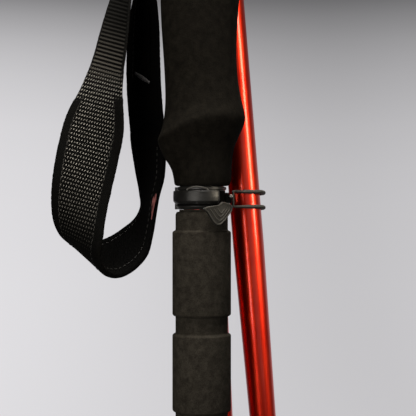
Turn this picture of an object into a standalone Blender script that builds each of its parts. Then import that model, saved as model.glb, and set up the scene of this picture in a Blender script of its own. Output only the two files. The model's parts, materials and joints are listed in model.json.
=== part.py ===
"""A folding trekking pole, folded into its sections as for carrying.

The upper grip stands upright, and its middle is the origin. Under it come the flip-lock collar and the
handle section with the lower grip. The middle and the tip section lie beside the handle section, each hung
on the tension cord that runs through the pole. Lengths are in millimetres, and heights are above the
collar's middle, until an object is made. The collar's middle is the point (0, 0, COLLAR_Z).
"""

import math

import bmesh
import bpy
from mathutils import Matrix, Vector

MM = 0.001
COLLAR_Z = -70.0  # the collar's middle lies this far below the origin
ROUND_STEPS = 28
UP = Vector((0, 0, 1))

# Handle section: the adjuster tube hangs from the grip and slides in the handle tube
GRIP_BOTTOM = 5.5
GRIP_TOP = 112.0
INNER_R = 7.9
INNER_WALL = 1.0
INNER_TOP = 114.0
INNER_BOTTOM = -160.0
HANDLE_R = 9.0
HANDLE_BORE_R = 8.1
HANDLE_TOP = 3.0
HANDLE_BOTTOM = -207.0
END_RING_BOTTOM = -208.0
LOWER_GRIP_R = 14.65
LOWER_GRIP_GROOVE_R = 13.1

# Middle section: its spigot points down beside the handle's end, and its open end is up by the head
MID_R = 8.5
MID_BORE_R = 7.6
MID_SPIGOT_R = 7.9
MID_LENGTH = 350.0  # from the spigot's nose to the end ring
MID_FOOT = Vector((11.74, 24.0, END_RING_BOTTOM))
MID_UP = Vector((-0.0447, 0.03, 1)).normalized()

# Tip section: its spigot points up by the middle section's open end, and its tip is down
TIP_R = 8.1
TIP_BORE_R = 7.2
TIP_SPIGOT_R = 7.4
TIP_HEAD = Vector((10.44, 23.96, 142.0))
TIP_DOWN = Vector((0.0833, 0.02, -1)).normalized()
TAPER_FROM = 168.0
TAPER_END_R = 5.7
TIP_TUBE_END = 350.0
BASKET_AT = 366.0
TIP_LENGTH = 420.0

SPIGOT_OUT = 34.0  # how much of a spigot stands out of its tube, and so how far it slides in
SPIGOT_IN = 20.0
HINGE_GAP = 0.4  # between a nose and the ring that it swings to
CORD_R = 1.5
ANCHOR_HEIGHT = 7.0
BUTTON_AT = 17.0  # from the nose of the middle section

# Flip-lock collar
COLLAR_R = 11.6
FLANGE_R = 12.8
LEVER_IN_R = 12.4
LEVER_OUT_R = 14.3
LEVER_MIDDLE = -0.2
LEVER_HALF = 3.2
LEVER_PIN = Vector((-11.0, 9.9, 0))
LUG_Y = 14.7
LUG_Z = -0.4

# The strap's two edges, as (left or rear edge, right or front edge), from the slot down the front leg,
# round the bottom and up the rear leg to the slot
STRAP_ROUTE = [
    ((-11.5, 10.0, 121.9), (-11.5, -10.0, 121.9)),
    ((-23.0, 10.0, 122.2), (-23.0, -10.0, 122.2)),
    ((-33.0, 9.5, 121.0), (-30.0, -10.4, 118.5)),
    ((-41.5, 6.5, 112.5), (-33.5, -12.6, 107.0)),
    ((-46.5, 1.5, 96.7), (-34.9, -15.0, 91.0)),
    ((-50.4, -3.0, 82.1), (-35.9, -16.5, 76.5)),
    ((-54.1, -6.0, 67.8), (-37.7, -17.0, 62.0)),
    ((-59.7, -7.0, 53.8), (-38.5, -17.0, 47.5)),
    ((-66.3, -9.0, 39.9), (-38.2, -16.0, 32.1)),
    ((-69.9, -11.0, 26.0), (-41.0, -15.0, 17.5)),
    ((-72.3, -12.0, 12.2), (-44.2, -15.0, 3.4)),
    ((-73.5, -11.0, -0.5), (-46.7, -15.5, -8.3)),
    ((-73.0, -8.0, -10.4), (-48.3, -16.0, -19.5)),
    ((-70.6, -3.0, -17.3), (-49.9, -14.5, -28.8)),
    ((-66.5, 4.0, -21.5), (-48.0, -9.5, -36.6)),
    ((-61.0, 11.5, -23.6), (-43.0, -3.5, -39.6)),
    ((-55.0, 18.0, -23.6), (-37.5, 0.5, -38.4)),
    ((-48.0, 24.0, -21.2), (-32.2, 3.5, -34.5)),
    ((-40.8, 29.0, -16.6), (-27.6, 6.0, -28.3)),
    ((-34.6, 33.0, -11.2), (-25.0, 8.0, -19.0)),
    ((-31.6, 35.5, -4.6), (-23.4, 9.0, -9.6)),
    ((-32.4, 37.0, 3.0), (-22.0, 10.0, -0.2)),
    ((-34.2, 37.0, 12.0), (-20.0, 12.0, 10.0)),
    ((-35.8, 34.5, 21.6), (-19.2, 13.5, 20.6)),
    ((-37.2, 30.0, 31.6), (-18.9, 14.5, 31.1)),
    ((-38.3, 25.0, 44.4), (-19.9, 13.5, 44.3)),
    ((-39.0, 22.0, 57.4), (-20.8, 12.0, 57.4)),
    ((-38.9, 19.0, 71.6), (-21.2, 9.8, 71.4)),
    ((-38.0, 17.0, 85.8), (-21.5, 6.5, 85.4)),
    ((-35.8, 15.5, 98.6), (-22.6, 1.5, 97.8)),
    ((-32.0, 13.0, 109.6), (-25.0, -5.5, 109.0)),
    ((-27.6, 10.5, 117.0), (-26.0, -9.4, 116.4)),
    ((-22.0, 10.0, 118.7), (-22.0, -10.0, 118.7)),
    ((-11.5, 10.0, 118.8), (-11.5, -10.0, 118.8)),
]
PAD_FROM = 7.0  # places along the route, counted in its points
PAD_TO = 24.0
WEB_HALF = 0.8
PAD_HALF = 1.6
LABEL_NEAR = 0.4  # the label's two edges, outside the strap's
LABEL_FAR = 2.2

COLOURS = {
    "foam": ((0.016, 0.015, 0.012, 1), 0.9, 0.0),
    "plastic": ((0.022, 0.022, 0.022, 1), 0.45, 0.0),
    "red": ((0.55, 0.03, 0.012, 1), 0.28, 1.0),
    "metal": ((0.62, 0.62, 0.64, 1), 0.35, 1.0),
    "webbing": ((0.02, 0.019, 0.016, 1), 0.85, 0.0),
    "label": ((0.35, 0.06, 0.05, 1), 0.8, 0.0),
    "cord": ((0.03, 0.03, 0.03, 1), 0.6, 0.0),
    "rubber": ((0.07, 0.065, 0.055, 1), 0.7, 0.0),
}


# ---------------------------------------------------------------- geometry that the pieces share

def catmull(before, start, end, after, t):
    """The point at t between start and end on the smooth curve through four points."""
    return 0.5 * (
        2 * start
        + (end - before) * t
        + (2 * before - 5 * start + 4 * end - after) * t * t
        + (3 * start - before - 3 * end + after) * t ** 3
    )


def along(points, place):
    """The point at this place, counted in points, on the smooth curve through all of them."""
    last = len(points) - 1
    i = min(int(place), last - 1)
    near = [Vector(points[min(max(i + k, 0), last)]) for k in (-1, 0, 1, 2)]
    return catmull(*near, place - i)


def bend(start, start_way, end, end_way, count=16):
    """Points on a U-bend that leaves start along start_way and comes back to end against end_way."""
    reach = 2 / 3 * (end - start).length
    a, b, c, d = start, start + reach * start_way, end + reach * end_way, end
    steps = [k / count for k in range(count + 1)]
    return [
        (1 - t) ** 3 * a + 3 * t * (1 - t) ** 2 * b + 3 * t * t * (1 - t) * c + t ** 3 * d
        for t in steps
    ]


def fold_hinge(nose, way, seat, seat_way):
    """The one rotation that carries a section's nose to its seat, and its direction from way to seat_way.

    Returns the axis's direction, a point on it and the angle.
    """
    shift = seat - nose
    axis = shift.cross(way - seat_way).normalized()
    if axis.dot(way.cross(seat_way)) < 0:
        axis = -axis
    flat_way = (way - axis * way.dot(axis)).normalized()
    flat_seat = (seat_way - axis * seat_way.dot(axis)).normalized()
    angle = math.atan2(axis.dot(flat_way.cross(flat_seat)), flat_way.dot(flat_seat)) % (2 * math.pi)
    point = (nose + seat) / 2 + axis.cross(shift) / (2 * math.tan(angle / 2))
    return axis, point, angle


def frame_at(origin, way, x_hint=Vector((1, 0, 0))):
    """A matrix at origin whose Z runs along way and whose X is as near as it can be to x_hint."""
    z = way.normalized()
    if abs(z.dot(x_hint)) > 0.99:
        x_hint = UP
    x = (x_hint - z * x_hint.dot(z)).normalized()
    y = z.cross(x)
    m = Matrix((x, y, z)).transposed().to_4x4()
    m.translation = origin
    return m


def upper_hinge():
    """The fold between the handle's end and the middle section."""
    seat = Vector((0, 0, END_RING_BOTTOM - HINGE_GAP))
    return fold_hinge(MID_FOOT, MID_UP, seat, -UP)


def lower_hinge():
    """The fold between the middle section's open end and the tip section."""
    seat = MID_FOOT + MID_UP * (MID_LENGTH + HINGE_GAP)
    return fold_hinge(TIP_HEAD, TIP_DOWN, seat, MID_UP)


def button_way():
    """The lock button points along the fold's axis, so that it points the same way folded and unfolded."""
    axis = upper_hinge()[0]
    flat = (axis - MID_UP * axis.dot(MID_UP)).normalized()
    return flat if flat.x > 0 else -flat


# ---------------------------------------------------------------- objects

def clear_scene():
    for obj in list(bpy.data.objects):
        bpy.data.objects.remove(obj)


def make_collection(name):
    collection = bpy.data.collections.new(name)
    bpy.context.scene.collection.children.link(collection)
    return collection


def make_material(name, kind):
    colour, roughness, metallic = COLOURS[kind]
    material = bpy.data.materials.new(name)
    material.use_nodes = True
    shader = material.node_tree.nodes["Principled BSDF"]
    shader.inputs["Base Color"].default_value = colour
    shader.inputs["Roughness"].default_value = roughness
    shader.inputs["Metallic"].default_value = metallic
    material.diffuse_color = colour
    return material


class Shop:
    """Makes the objects and puts them in their collections."""

    def __init__(self):
        self.parts = make_collection("folding_trekking_pole")
        self.cutters = make_collection("cutters")

    def empty(self, name, matrix):
        """An empty at a matrix in millimetres above the collar's middle."""
        obj = bpy.data.objects.new(name, None)
        obj.empty_display_size = 10 * MM
        placed = matrix.copy()
        placed.translation = (matrix.translation + Vector((0, 0, COLLAR_Z))) * MM
        obj.matrix_world = placed
        self.parts.objects.link(obj)
        return obj

    def add(self, name, data, kind, home, holder=None):
        """Places data, drawn in home's axes, and hangs it on holder, or on home if no holder is given."""
        obj = bpy.data.objects.new(name, data)
        holder = holder or home
        obj.parent = holder
        obj.matrix_parent_inverse = holder.matrix_world.inverted()
        obj.matrix_world = home.matrix_world
        if kind is None:
            self.cutters.objects.link(obj)
            obj.hide_render = True
            obj.display_type = "WIRE"
        else:
            self.parts.objects.link(obj)
            data.materials.append(make_material(name, kind))
        return obj

    def mesh(self, name, bm, kind, home, holder=None):
        """Turns a bmesh drawn in millimetres into an object."""
        bmesh.ops.scale(bm, vec=(MM, MM, MM), verts=bm.verts)
        bmesh.ops.recalc_face_normals(bm, faces=bm.faces)
        data = bpy.data.meshes.new(name)
        bm.to_mesh(data)
        bm.free()
        data.shade_smooth()
        data.set_sharp_from_angle(angle=math.radians(35))
        return self.add(name, data, kind, home, holder)

    def turned(self, name, profile, kind, home, closed=True, holder=None, steps=ROUND_STEPS):
        """A profile of (radius, height) points, turned about Z. It runs down the outer side."""
        bm = bmesh.new()
        verts = [bm.verts.new((r * MM, 0, h * MM)) for r, h in profile]
        for a, b in zip(verts, verts[1:] + (verts[:1] if closed else [])):
            bm.edges.new((a, b))
        data = bpy.data.meshes.new(name)
        bm.to_mesh(data)
        bm.free()
        obj = self.add(name, data, kind, home, holder)
        screw = obj.modifiers.new("turn", "SCREW")
        screw.steps = screw.render_steps = steps
        screw.use_merge_vertices = True
        screw.merge_threshold = 0.000001
        screw.use_smooth_shade = True
        return obj

    def tube(self, name, radius, bore, top, bottom, kind, home, holder=None):
        profile = [(radius, top), (radius, bottom), (bore, bottom), (bore, top)]
        return self.turned(name, profile, kind, home, holder=holder)

    def disc(self, name, radius, top, bottom, kind, home, holder=None, steps=ROUND_STEPS):
        profile = [(0, top), (radius, top), (radius, bottom), (0, bottom)]
        return self.turned(name, profile, kind, home, closed=False, holder=holder, steps=steps)

    def rod(self, name, start, end, radius, kind, home, holder=None, steps=20):
        """A straight round bar between two points."""
        way = end - start
        bm = bmesh.new()
        bmesh.ops.create_cone(
            bm, cap_ends=True, segments=steps, radius1=radius, radius2=radius, depth=way.length,
            matrix=frame_at((start + end) / 2, way),
        )
        return self.mesh(name, bm, kind, home, holder)

    def block(self, name, low, high, kind, home, round_by=0.0):
        """A box between two corners."""
        low, high = Vector(low), Vector(high)
        bm = bmesh.new()
        size = Matrix.Diagonal((*(high - low), 1))
        bmesh.ops.create_cube(bm, size=1, matrix=Matrix.Translation((low + high) / 2) @ size)
        if round_by:
            bmesh.ops.bevel(
                bm, geom=bm.edges[:], offset=round_by, segments=2, affect="EDGES", profile=0.5
            )
        return self.mesh(name, bm, kind, home)

    def loft(self, name, rings, kind, home, ring_shaped=False, holder=None):
        """A skin through rings of equally many points, capped, or joined end to start."""
        bm = bmesh.new()
        rows = [[bm.verts.new(p) for p in ring] for ring in rings]
        pairs = list(zip(rows, rows[1:]))
        if ring_shaped:
            pairs.append((rows[-1], rows[0]))
        for low, high in pairs:
            count = len(low)
            for k in range(count):
                n = (k + 1) % count
                bm.faces.new((low[k], low[n], high[n], high[k]))
        if not ring_shaped:
            bm.faces.new(rows[0][::-1])
            bm.faces.new(rows[-1])
        return self.mesh(name, bm, kind, home, holder)

    def wire(self, name, points, radius, kind, home, holder=None, cyclic=False, sides=2):
        """A round cord through points."""
        data = bpy.data.curves.new(name, "CURVE")
        data.dimensions = "3D"
        data.bevel_depth = radius * MM
        data.bevel_resolution = sides
        data.use_fill_caps = not cyclic
        spline = data.splines.new("POLY")
        spline.points.add(len(points) - 1)
        spline.use_cyclic_u = cyclic
        for place, p in zip(spline.points, points):
            place.co = (*(p * MM), 1)
        return self.add(name, data, kind, home, holder)

    def boolean(self, obj, other, operation="DIFFERENCE"):
        modifier = obj.modifiers.new(other.name, "BOOLEAN")
        modifier.operation = operation
        modifier.object = other


# ---------------------------------------------------------------- upper grip

# (left x, its height, right x, its height, half depth) of each ring, bottom to top
GRIP_RINGS = [
    (-12.6, 5.5, 13.1, 5.5, 12.9),
    (-13.5, 6.5, 14.1, 6.5, 13.5),
    (-14.1, 9.5, 14.9, 9.5, 13.9),
    (-14.9, 13.0, 15.1, 15.0, 14.2),
    (-16.4, 16.2, 15.5, 20.5, 14.8),
    (-18.6, 19.4, 16.6, 25.5, 15.7),
    (-20.7, 23.8, 18.8, 30.5, 16.6),
    (-21.9, 27.0, 20.9, 35.6, 17.2),
    (-21.9, 29.0, 21.7, 39.0, 17.2),
    (-20.7, 32.0, 21.4, 42.4, 16.8),
    (-19.3, 37.0, 20.1, 47.5, 16.2),
    (-18.4, 44.0, 18.8, 54.0, 15.6),
    (-18.2, 52.0, 17.9, 61.0, 15.2),
    (-18.7, 64.0, 17.4, 70.0, 15.1),
    (-19.5, 76.0, 17.5, 79.0, 15.2),
    (-20.2, 87.0, 18.0, 88.0, 15.4),
    (-20.6, 98.0, 18.7, 98.0, 15.6),
    (-20.8, GRIP_TOP, 19.4, GRIP_TOP, 15.9),
]
HEAD_RINGS = [
    (-20.9, 112.4, 19.5, 112.4, 16.0),
    (-21.6, 117.0, 20.0, 117.0, 16.4),
    (-22.2, 124.0, 20.3, 124.0, 16.6),
    (-21.6, 130.0, 19.6, 130.0, 15.9),
    (-19.6, 134.2, 17.4, 134.2, 14.0),
    (-16.6, 136.8, 14.6, 136.8, 11.6),
    (-12.0, 138.0, 10.5, 138.0, 8.2),
]
GRIP_BORE_R = 8.3
PIN_X = -8.4  # the cross pin that the strap's loop pulls on
PIN_Z = 120.3
PIN_HALF = 12.6
PIN_R = 1.6


def grip_ring(left, left_z, right, right_z, half, count=36):
    """A tilted oval through its left and right ends."""
    middle, reach = (left + right) / 2, (right - left) / 2
    lift = (right_z - left_z) / 2
    ring = []
    for k in range(count):
        turn = 2 * math.pi * k / count
        side = math.cos(turn)
        ring.append(
            Vector((middle + reach * side, half * math.sin(turn), (left_z + right_z) / 2 + lift * side))
        )
    return ring


def circle(radius, height, count=36):
    turns = [2 * math.pi * k / count for k in range(count)]
    return [Vector((radius * math.cos(t), radius * math.sin(t), height)) for t in turns]


def make_grip(shop, root, wedge_home):
    skin = [grip_ring(*ring) for ring in GRIP_RINGS]
    bore = [circle(GRIP_BORE_R, GRIP_TOP), circle(GRIP_BORE_R, GRIP_BOTTOM)]
    shop.loft("upper_grip", skin + bore, "foam", root, ring_shaped=True)

    cap = shop.loft("head_cap", [grip_ring(*ring) for ring in HEAD_RINGS], "plastic", root)
    socket = shop.disc("cut_head_socket", GRIP_BORE_R, 114.4, 110.0, None, root)
    pocket = shop.block("cut_strap_pocket", (-30, -10.9, 116.6), (-5, 10.9, 128.6), None, root)
    pin, half_pin, clearance = Vector((PIN_X, 0, PIN_Z)), Vector((0, PIN_HALF, 0)), Vector((0, 0.4, 0))
    hole_ends = pin - half_pin - clearance, pin + half_pin + clearance
    pin_hole = shop.rod("cut_strap_pin", *hole_ends, PIN_R + 0.3, None, root)
    for cutter in (socket, pocket, pin_hole):
        shop.boolean(cap, cutter)
    shop.rod("strap_pin", pin - half_pin, pin + half_pin, PIN_R, "metal", root)

    # The wedge presses on the strap's upper layer, and its lip stands out of the pocket
    outline = [(-25.6, 123.4), (-8.0, 124.6), (-7.0, 127.9), (-23.6, 127.9), (-25.6, 126.4)]
    rings = [[Vector((x, y, z)) for x, z in outline] for y in (-10.3, 10.3)]
    shop.loft("strap_wedge", rings, "plastic", root, holder=wedge_home)

    shop.tube("inner_tube", INNER_R, INNER_R - INNER_WALL, INNER_TOP, INNER_BOTTOM, "metal", root)
    plug_r = INNER_R - INNER_WALL - 0.2
    shop.turned(
        "inner_tube_plug",
        [
            (plug_r, INNER_BOTTOM + 10), (plug_r, INNER_BOTTOM - 0.3), (INNER_R, INNER_BOTTOM - 0.3),
            (INNER_R, INNER_BOTTOM - 3), (4.5, INNER_BOTTOM - 3), (4.5, INNER_BOTTOM + 10),
        ],
        "plastic", root,
    )


# ---------------------------------------------------------------- wrist strap

def strap_section(place, half):
    """The four corners of the strap's cross-section at a place on its route."""
    lefts = [edges[0] for edges in STRAP_ROUTE]
    rights = [edges[1] for edges in STRAP_ROUTE]
    left, right = along(lefts, place), along(rights, place)
    last = len(STRAP_ROUTE) - 1
    low, high = max(place - 0.1, 0), min(place + 0.1, last)
    way = (along(lefts, high) + along(rights, high)) - (along(lefts, low) + along(rights, low))
    normal = (right - left).cross(way).normalized() * half
    return [left + normal, right + normal, right - normal, left - normal]


def make_strap(shop, root):
    gap = 0.03  # of a route point, about 0.4 mm
    spans = (
        ("strap_front_webbing", 0, PAD_FROM - gap, WEB_HALF),
        ("strap_pad", PAD_FROM + gap, PAD_TO - gap, PAD_HALF),
        ("strap_rear_webbing", PAD_TO + gap, len(STRAP_ROUTE) - 1, WEB_HALF),
    )
    for name, start, end, half in spans:
        count = round((end - start) * 2.5)
        places = [start + (end - start) * k / count for k in range(count + 1)]
        shop.loft(name, [strap_section(p, half) for p in places], "webbing", root)

    # The label is sewn into the right-hand seam of the rear leg and stands out of it
    rings = []
    for place in (19.9, 20.3, 20.7, 21.1):
        left_top, right_top, right_low, left_low = strap_section(place, 0.3)
        out = (right_top - left_top).normalized()
        near, far = LABEL_NEAR * out, LABEL_FAR * out
        rings.append([right_top + near, right_top + far, right_low + far, right_low + near])
    shop.loft("strap_label", rings, "label", root)


# ---------------------------------------------------------------- handle section

def make_handle(shop, handle):
    tube = shop.tube(
        "handle_tube", HANDLE_R, HANDLE_BORE_R, HANDLE_TOP, HANDLE_BOTTOM, "red", handle
    )
    seated = END_RING_BOTTOM - HINGE_GAP + SPIGOT_OUT - BUTTON_AT
    way = upper_hinge()[0]
    way = way if way.x > 0 else -way
    hole = Vector((0, 0, seated))
    shop.boolean(tube, shop.rod("cut_button_hole", hole + 5 * way, hole + 12 * way, 2.5, None, handle))

    ring_r = HANDLE_R + 1.2
    shop.turned(
        "handle_end_ring",
        [
            (ring_r - 0.4, END_RING_BOTTOM + 9), (ring_r, END_RING_BOTTOM + 8.6),
            (ring_r, END_RING_BOTTOM + 0.5), (ring_r - 0.5, END_RING_BOTTOM),
            (HANDLE_BORE_R, END_RING_BOTTOM), (HANDLE_BORE_R, END_RING_BOTTOM + 0.7),
            (HANDLE_R + 0.3, END_RING_BOTTOM + 0.7), (HANDLE_R + 0.3, END_RING_BOTTOM + 9),
        ],
        "metal", handle,
    )

    # Foam over the handle tube: a neck under the collar, then segments between grooves
    r, groove, bore = LOWER_GRIP_R, LOWER_GRIP_GROOVE_R, HANDLE_R + 0.3
    outer = [(groove - 0.8, -7.2), (groove, -8.2), (groove, -13.4)]
    for top, bottom in ((-13.4, -59.6), (-67.9, -107.3), (-115.6, -146.0)):
        outer += [(r - 0.5, top - 0.9), (r, top - 2.4), (r, bottom + 2.4), (r - 0.5, bottom + 0.9)]
        outer += [(groove, bottom), (groove, bottom - 8.3)] if bottom > -146 else [(groove - 0.6, bottom)]
    shop.turned("lower_grip", outer + [(bore, -146.0), (bore, -7.2)], "foam", handle)

    anchor_top = INNER_BOTTOM - 5.5
    anchor_r = HANDLE_BORE_R - 0.2
    cord_bore = CORD_R + 0.2
    shop.tube(
        "handle_cord_anchor", anchor_r, cord_bore, anchor_top, anchor_top - ANCHOR_HEIGHT, "plastic", handle
    )
    shop.disc("handle_cord", CORD_R, anchor_top, END_RING_BOTTOM + 0.3, "cord", handle, steps=12)
    foot = MID_FOOT - 0.3 * MID_UP
    route = bend(Vector((0, 0, END_RING_BOTTOM)), -UP, foot, -MID_UP)
    shop.wire("upper_cord_bend", route, CORD_R, "cord", handle)


def sector(low_r, high_r, low_z, high_z, start, end, steps):
    """Rings of a band that runs round the pole between two angles, in degrees."""
    rings = []
    for k in range(steps + 1):
        turn = math.radians(start + (end - start) * k / steps)
        way = Vector((math.cos(turn), math.sin(turn), 0))
        corners = ((low_r, low_z), (high_r, low_z), (high_r, high_z), (low_r, high_z))
        rings.append([way * r + UP * z for r, z in corners])
    return rings


def across(x):
    """A point on the tension screw's axis."""
    return Vector((x, LUG_Y, LUG_Z))


def make_collar(shop, handle, lever_home, screw_home):
    collar = shop.turned(
        "clamp_collar",
        [
            (11.8, 5.1), (12.5, 4.7), (12.5, 3.7), (COLLAR_R, 3.6), (COLLAR_R, -4.1), (FLANGE_R, -4.2),
            (FLANGE_R, -6.2), (12.4, -6.7), (HANDLE_R + 0.3, -6.7), (HANDLE_R + 0.3, HANDLE_TOP + 0.3),
            (INNER_R + 0.4, HANDLE_TOP + 0.3), (INNER_R + 0.4, 5.1),
        ],
        "plastic", handle,
    )
    housing = shop.loft(
        "join_housing", sector(10.4, 12.1, -4.3, 5.0, -78, -4, 8), None, handle
    )
    ear_top = shop.rod("join_ear_top", LEVER_PIN + 3.6 * UP, LEVER_PIN + 5.0 * UP, 2.7, None, handle)
    ear_low = shop.rod("join_ear_low", LEVER_PIN - 6.3 * UP, LEVER_PIN - 4.15 * UP, 2.7, None, handle)
    lugs = shop.block("join_lugs", (-3.6, 10.6, -4.6), (6.0, 17.4, 3.9), None, handle)
    anchor = shop.block("join_keeper_anchor", (-8.2, 7.4, -3.3), (-6.6, 15.3, 1.2), None, handle)
    for other in (housing, ear_top, ear_low, lugs, anchor):
        shop.boolean(collar, other, "UNION")
    split = shop.block("cut_split", (-1.0, 6.0, -9.0), (1.0, 20.0, 8.0), None, handle)
    pin_hole = shop.rod("cut_pin_hole", LEVER_PIN - 8 * UP, LEVER_PIN + 7 * UP, 1.35, None, handle)
    screw_hole = shop.rod("cut_screw_hole", across(-9), across(9), 1.8, None, handle)
    for cutter in (split, pin_hole, screw_hole):
        shop.boolean(collar, cutter)

    shop.rod("clamp_lever_pin", LEVER_PIN - 6.2 * UP, LEVER_PIN + 4.9 * UP, 1.1, "metal", handle)

    # The lever is a band round the left and front, with a knuckle on its pin and a rounded free end
    low, high = LEVER_MIDDLE - LEVER_HALF, LEVER_MIDDLE + LEVER_HALF
    rings = sector(LEVER_IN_R, LEVER_OUT_R, low, high, 143, 300, 22)
    for angle, shorter in ((302.5, 0.35), (304.5, 1.1)):
        rings += sector(LEVER_IN_R, LEVER_OUT_R - 0.2, low + shorter, high - shorter, angle, angle, 1)[:1]
    lever = shop.loft("clamp_lever", rings, "plastic", handle, holder=lever_home)
    knuckle = shop.rod("join_knuckle", LEVER_PIN + low * UP, LEVER_PIN + high * UP, 2.45, None, handle)
    bore = shop.rod("cut_knuckle_bore", LEVER_PIN - 8 * UP, LEVER_PIN + 8 * UP, 1.4, None, handle)
    shop.boolean(lever, knuckle, "UNION")
    shop.boolean(lever, bore)

    # Tension screw across the split, in a captive nut
    shank = shop.rod("clamp_screw", across(-6.3), across(7.0), 1.4, "metal", handle, holder=screw_home)
    head = shop.rod("join_screw_head", across(6.4), across(8.6), 2.6, None, handle)
    slot_half = 0.35
    slot = shop.block(
        "cut_screw_slot", across(7.9) - Vector((0, 4, slot_half)), across(9.5) + Vector((0, 4, slot_half)),
        None, handle,
    )
    shop.boolean(shank, head, "UNION")
    shop.boolean(shank, slot)
    nut = shop.rod("clamp_nut", across(-6.2), across(-3.9), 2.7, "metal", handle, steps=6)
    shop.boolean(nut, shop.rod("cut_nut_bore", across(-8), across(-2), 1.7, None, handle))


# (x, height) of the pull tab's outline, seen from in front
TAB_OUTLINE = [
    (0.4, -5.8), (2.6, -4.9), (8.3, -4.0), (10.3, -2.3), (13.9, -3.3), (15.3, -4.6), (15.1, -6.6),
    (11.3, -11.8), (9.0, -14.0), (7.2, -14.0), (5.4, -12.3), (2.4, -7.3),
]
TAB_TURN = math.radians(36.87)
TAB_AWAY = 15.3  # from the pole's axis to the tab's middle plane
TAB_HALF = 0.8


def keeper_route():
    """The elastic loop: round the front of the tip tube, behind both tubes, and back to the collar."""
    plan = [
        (16.7, 9.5), (20.0, 13.5), (25.4, 17.0), (30.5, 21.2), (32.3, 26.8), (31.0, 31.6), (27.0, 35.6),
        (16.0, 39.2), (4.0, 40.6), (-4.2, 37.8), (-7.8, 30.8), (-7.8, 22.5), (-7.6, 18.2),
    ]
    top, low = 2.5, -4.6
    upper = [Vector((x, y, top)) for x, y in plan]
    lower = [Vector((x, y, low)) for x, y in reversed(plan)]
    near = [Vector((-7.4, 16.7, 1.0)), Vector((-7.4, 16.7, -3.1))]
    bar = [Vector((16.4, 9.0, -3.6)), Vector((16.4, 9.0, 1.5))]
    return upper + near + lower + bar


def make_keeper(shop, handle):
    lug = shop.block("keeper_lug", (12.5, -3.0, -3.1), (14.9, 8.4, 2.4), "plastic", handle, round_by=0.4)
    start, end, clearance = Vector((14.0, -3.9, 0.4)), Vector((14.0, 2.6, 0.4)), Vector((0, 1.4, 0))
    hole = shop.rod("cut_rivet_hole", start - clearance, end + clearance, 0.7, None, handle, steps=12)
    shop.boolean(lug, hole)
    shop.rod("keeper_rivet", start, end, 0.5, "metal", handle, steps=12)

    points = keeper_route()
    count = len(points)
    closed = [points[-1]] + points + points[:2]
    places = [1 + k / 2 for k in range(count * 2)]
    route = [along(closed, p) for p in places]
    shop.wire("keeper_loop", route, 1.0, "rubber", handle, cyclic=True, sides=1)

    # The tab's outline stands in a plane turned to face front and right
    across = Vector((math.cos(TAB_TURN), math.sin(TAB_TURN), 0))
    out = Vector((math.sin(TAB_TURN), -math.cos(TAB_TURN), 0))
    start = out * TAB_AWAY
    start -= across * (start.x / across.x)
    faces = []
    for side in (TAB_HALF, -TAB_HALF):
        faces.append([start + across * (x / across.x) + out * side + UP * z for x, z in TAB_OUTLINE])
    shop.loft("keeper_tab", faces, "rubber", handle)


# ---------------------------------------------------------------- folding sections

def make_spigot(shop, name, radius, tube_bore, home):
    """A spigot glued into its tube's end, and a nose that finds the way in and has its tip at the origin."""
    shoulder = SPIGOT_OUT
    glued_r, wall = tube_bore - 0.2, 1.2
    shop.turned(
        name + "_spigot",
        [
            (glued_r, shoulder + SPIGOT_IN), (glued_r, shoulder + 0.1), (radius, shoulder - 0.3),
            (radius, 7.0), (radius - 1.3, 7.0), (radius - 1.3, shoulder - 0.3),
            (glued_r - wall, shoulder + 0.1), (glued_r - wall, shoulder + SPIGOT_IN),
        ],
        "metal", home,
    )
    plug = radius - 1.5
    shop.turned(
        name + "_spigot_nose",
        [
            (plug, 12.0), (plug, 6.7), (radius, 6.7), (radius - 0.4, 5.0), (4.6, 0.6), (3.8, 0.0),
            (CORD_R + 0.5, 0.0), (CORD_R + 0.5, 12.0),
        ],
        "plastic", home,
    )


def spring_points(radius, start, end, turns, per_turn=10):
    count = turns * per_turn
    return [
        Vector((
            radius * math.cos(2 * math.pi * k / per_turn),
            radius * math.sin(2 * math.pi * k / per_turn),
            start + (end - start) * k / count,
        ))
        for k in range(count + 1)
    ]


def make_tension(shop, name, bore, home, link):
    """The cord inside a section, its stop, and the spring that pulls the section home."""
    inside = SPIGOT_OUT + SPIGOT_IN
    stop_at = inside + 38
    shop.disc(name + "_cord", CORD_R, stop_at + 4, 0.3, "cord", home, holder=link, steps=12)
    stop_r = bore - 1.2
    shop.tube(
        name + "_cord_stop", stop_r, CORD_R + 0.2, stop_at + 5, stop_at, "plastic", home, holder=link
    )
    points = spring_points(4.2, inside + 1.2, stop_at - 1.2, turns=6)
    shop.wire(name + "_tension_spring", points, 0.6, "metal", home, sides=0)


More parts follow.
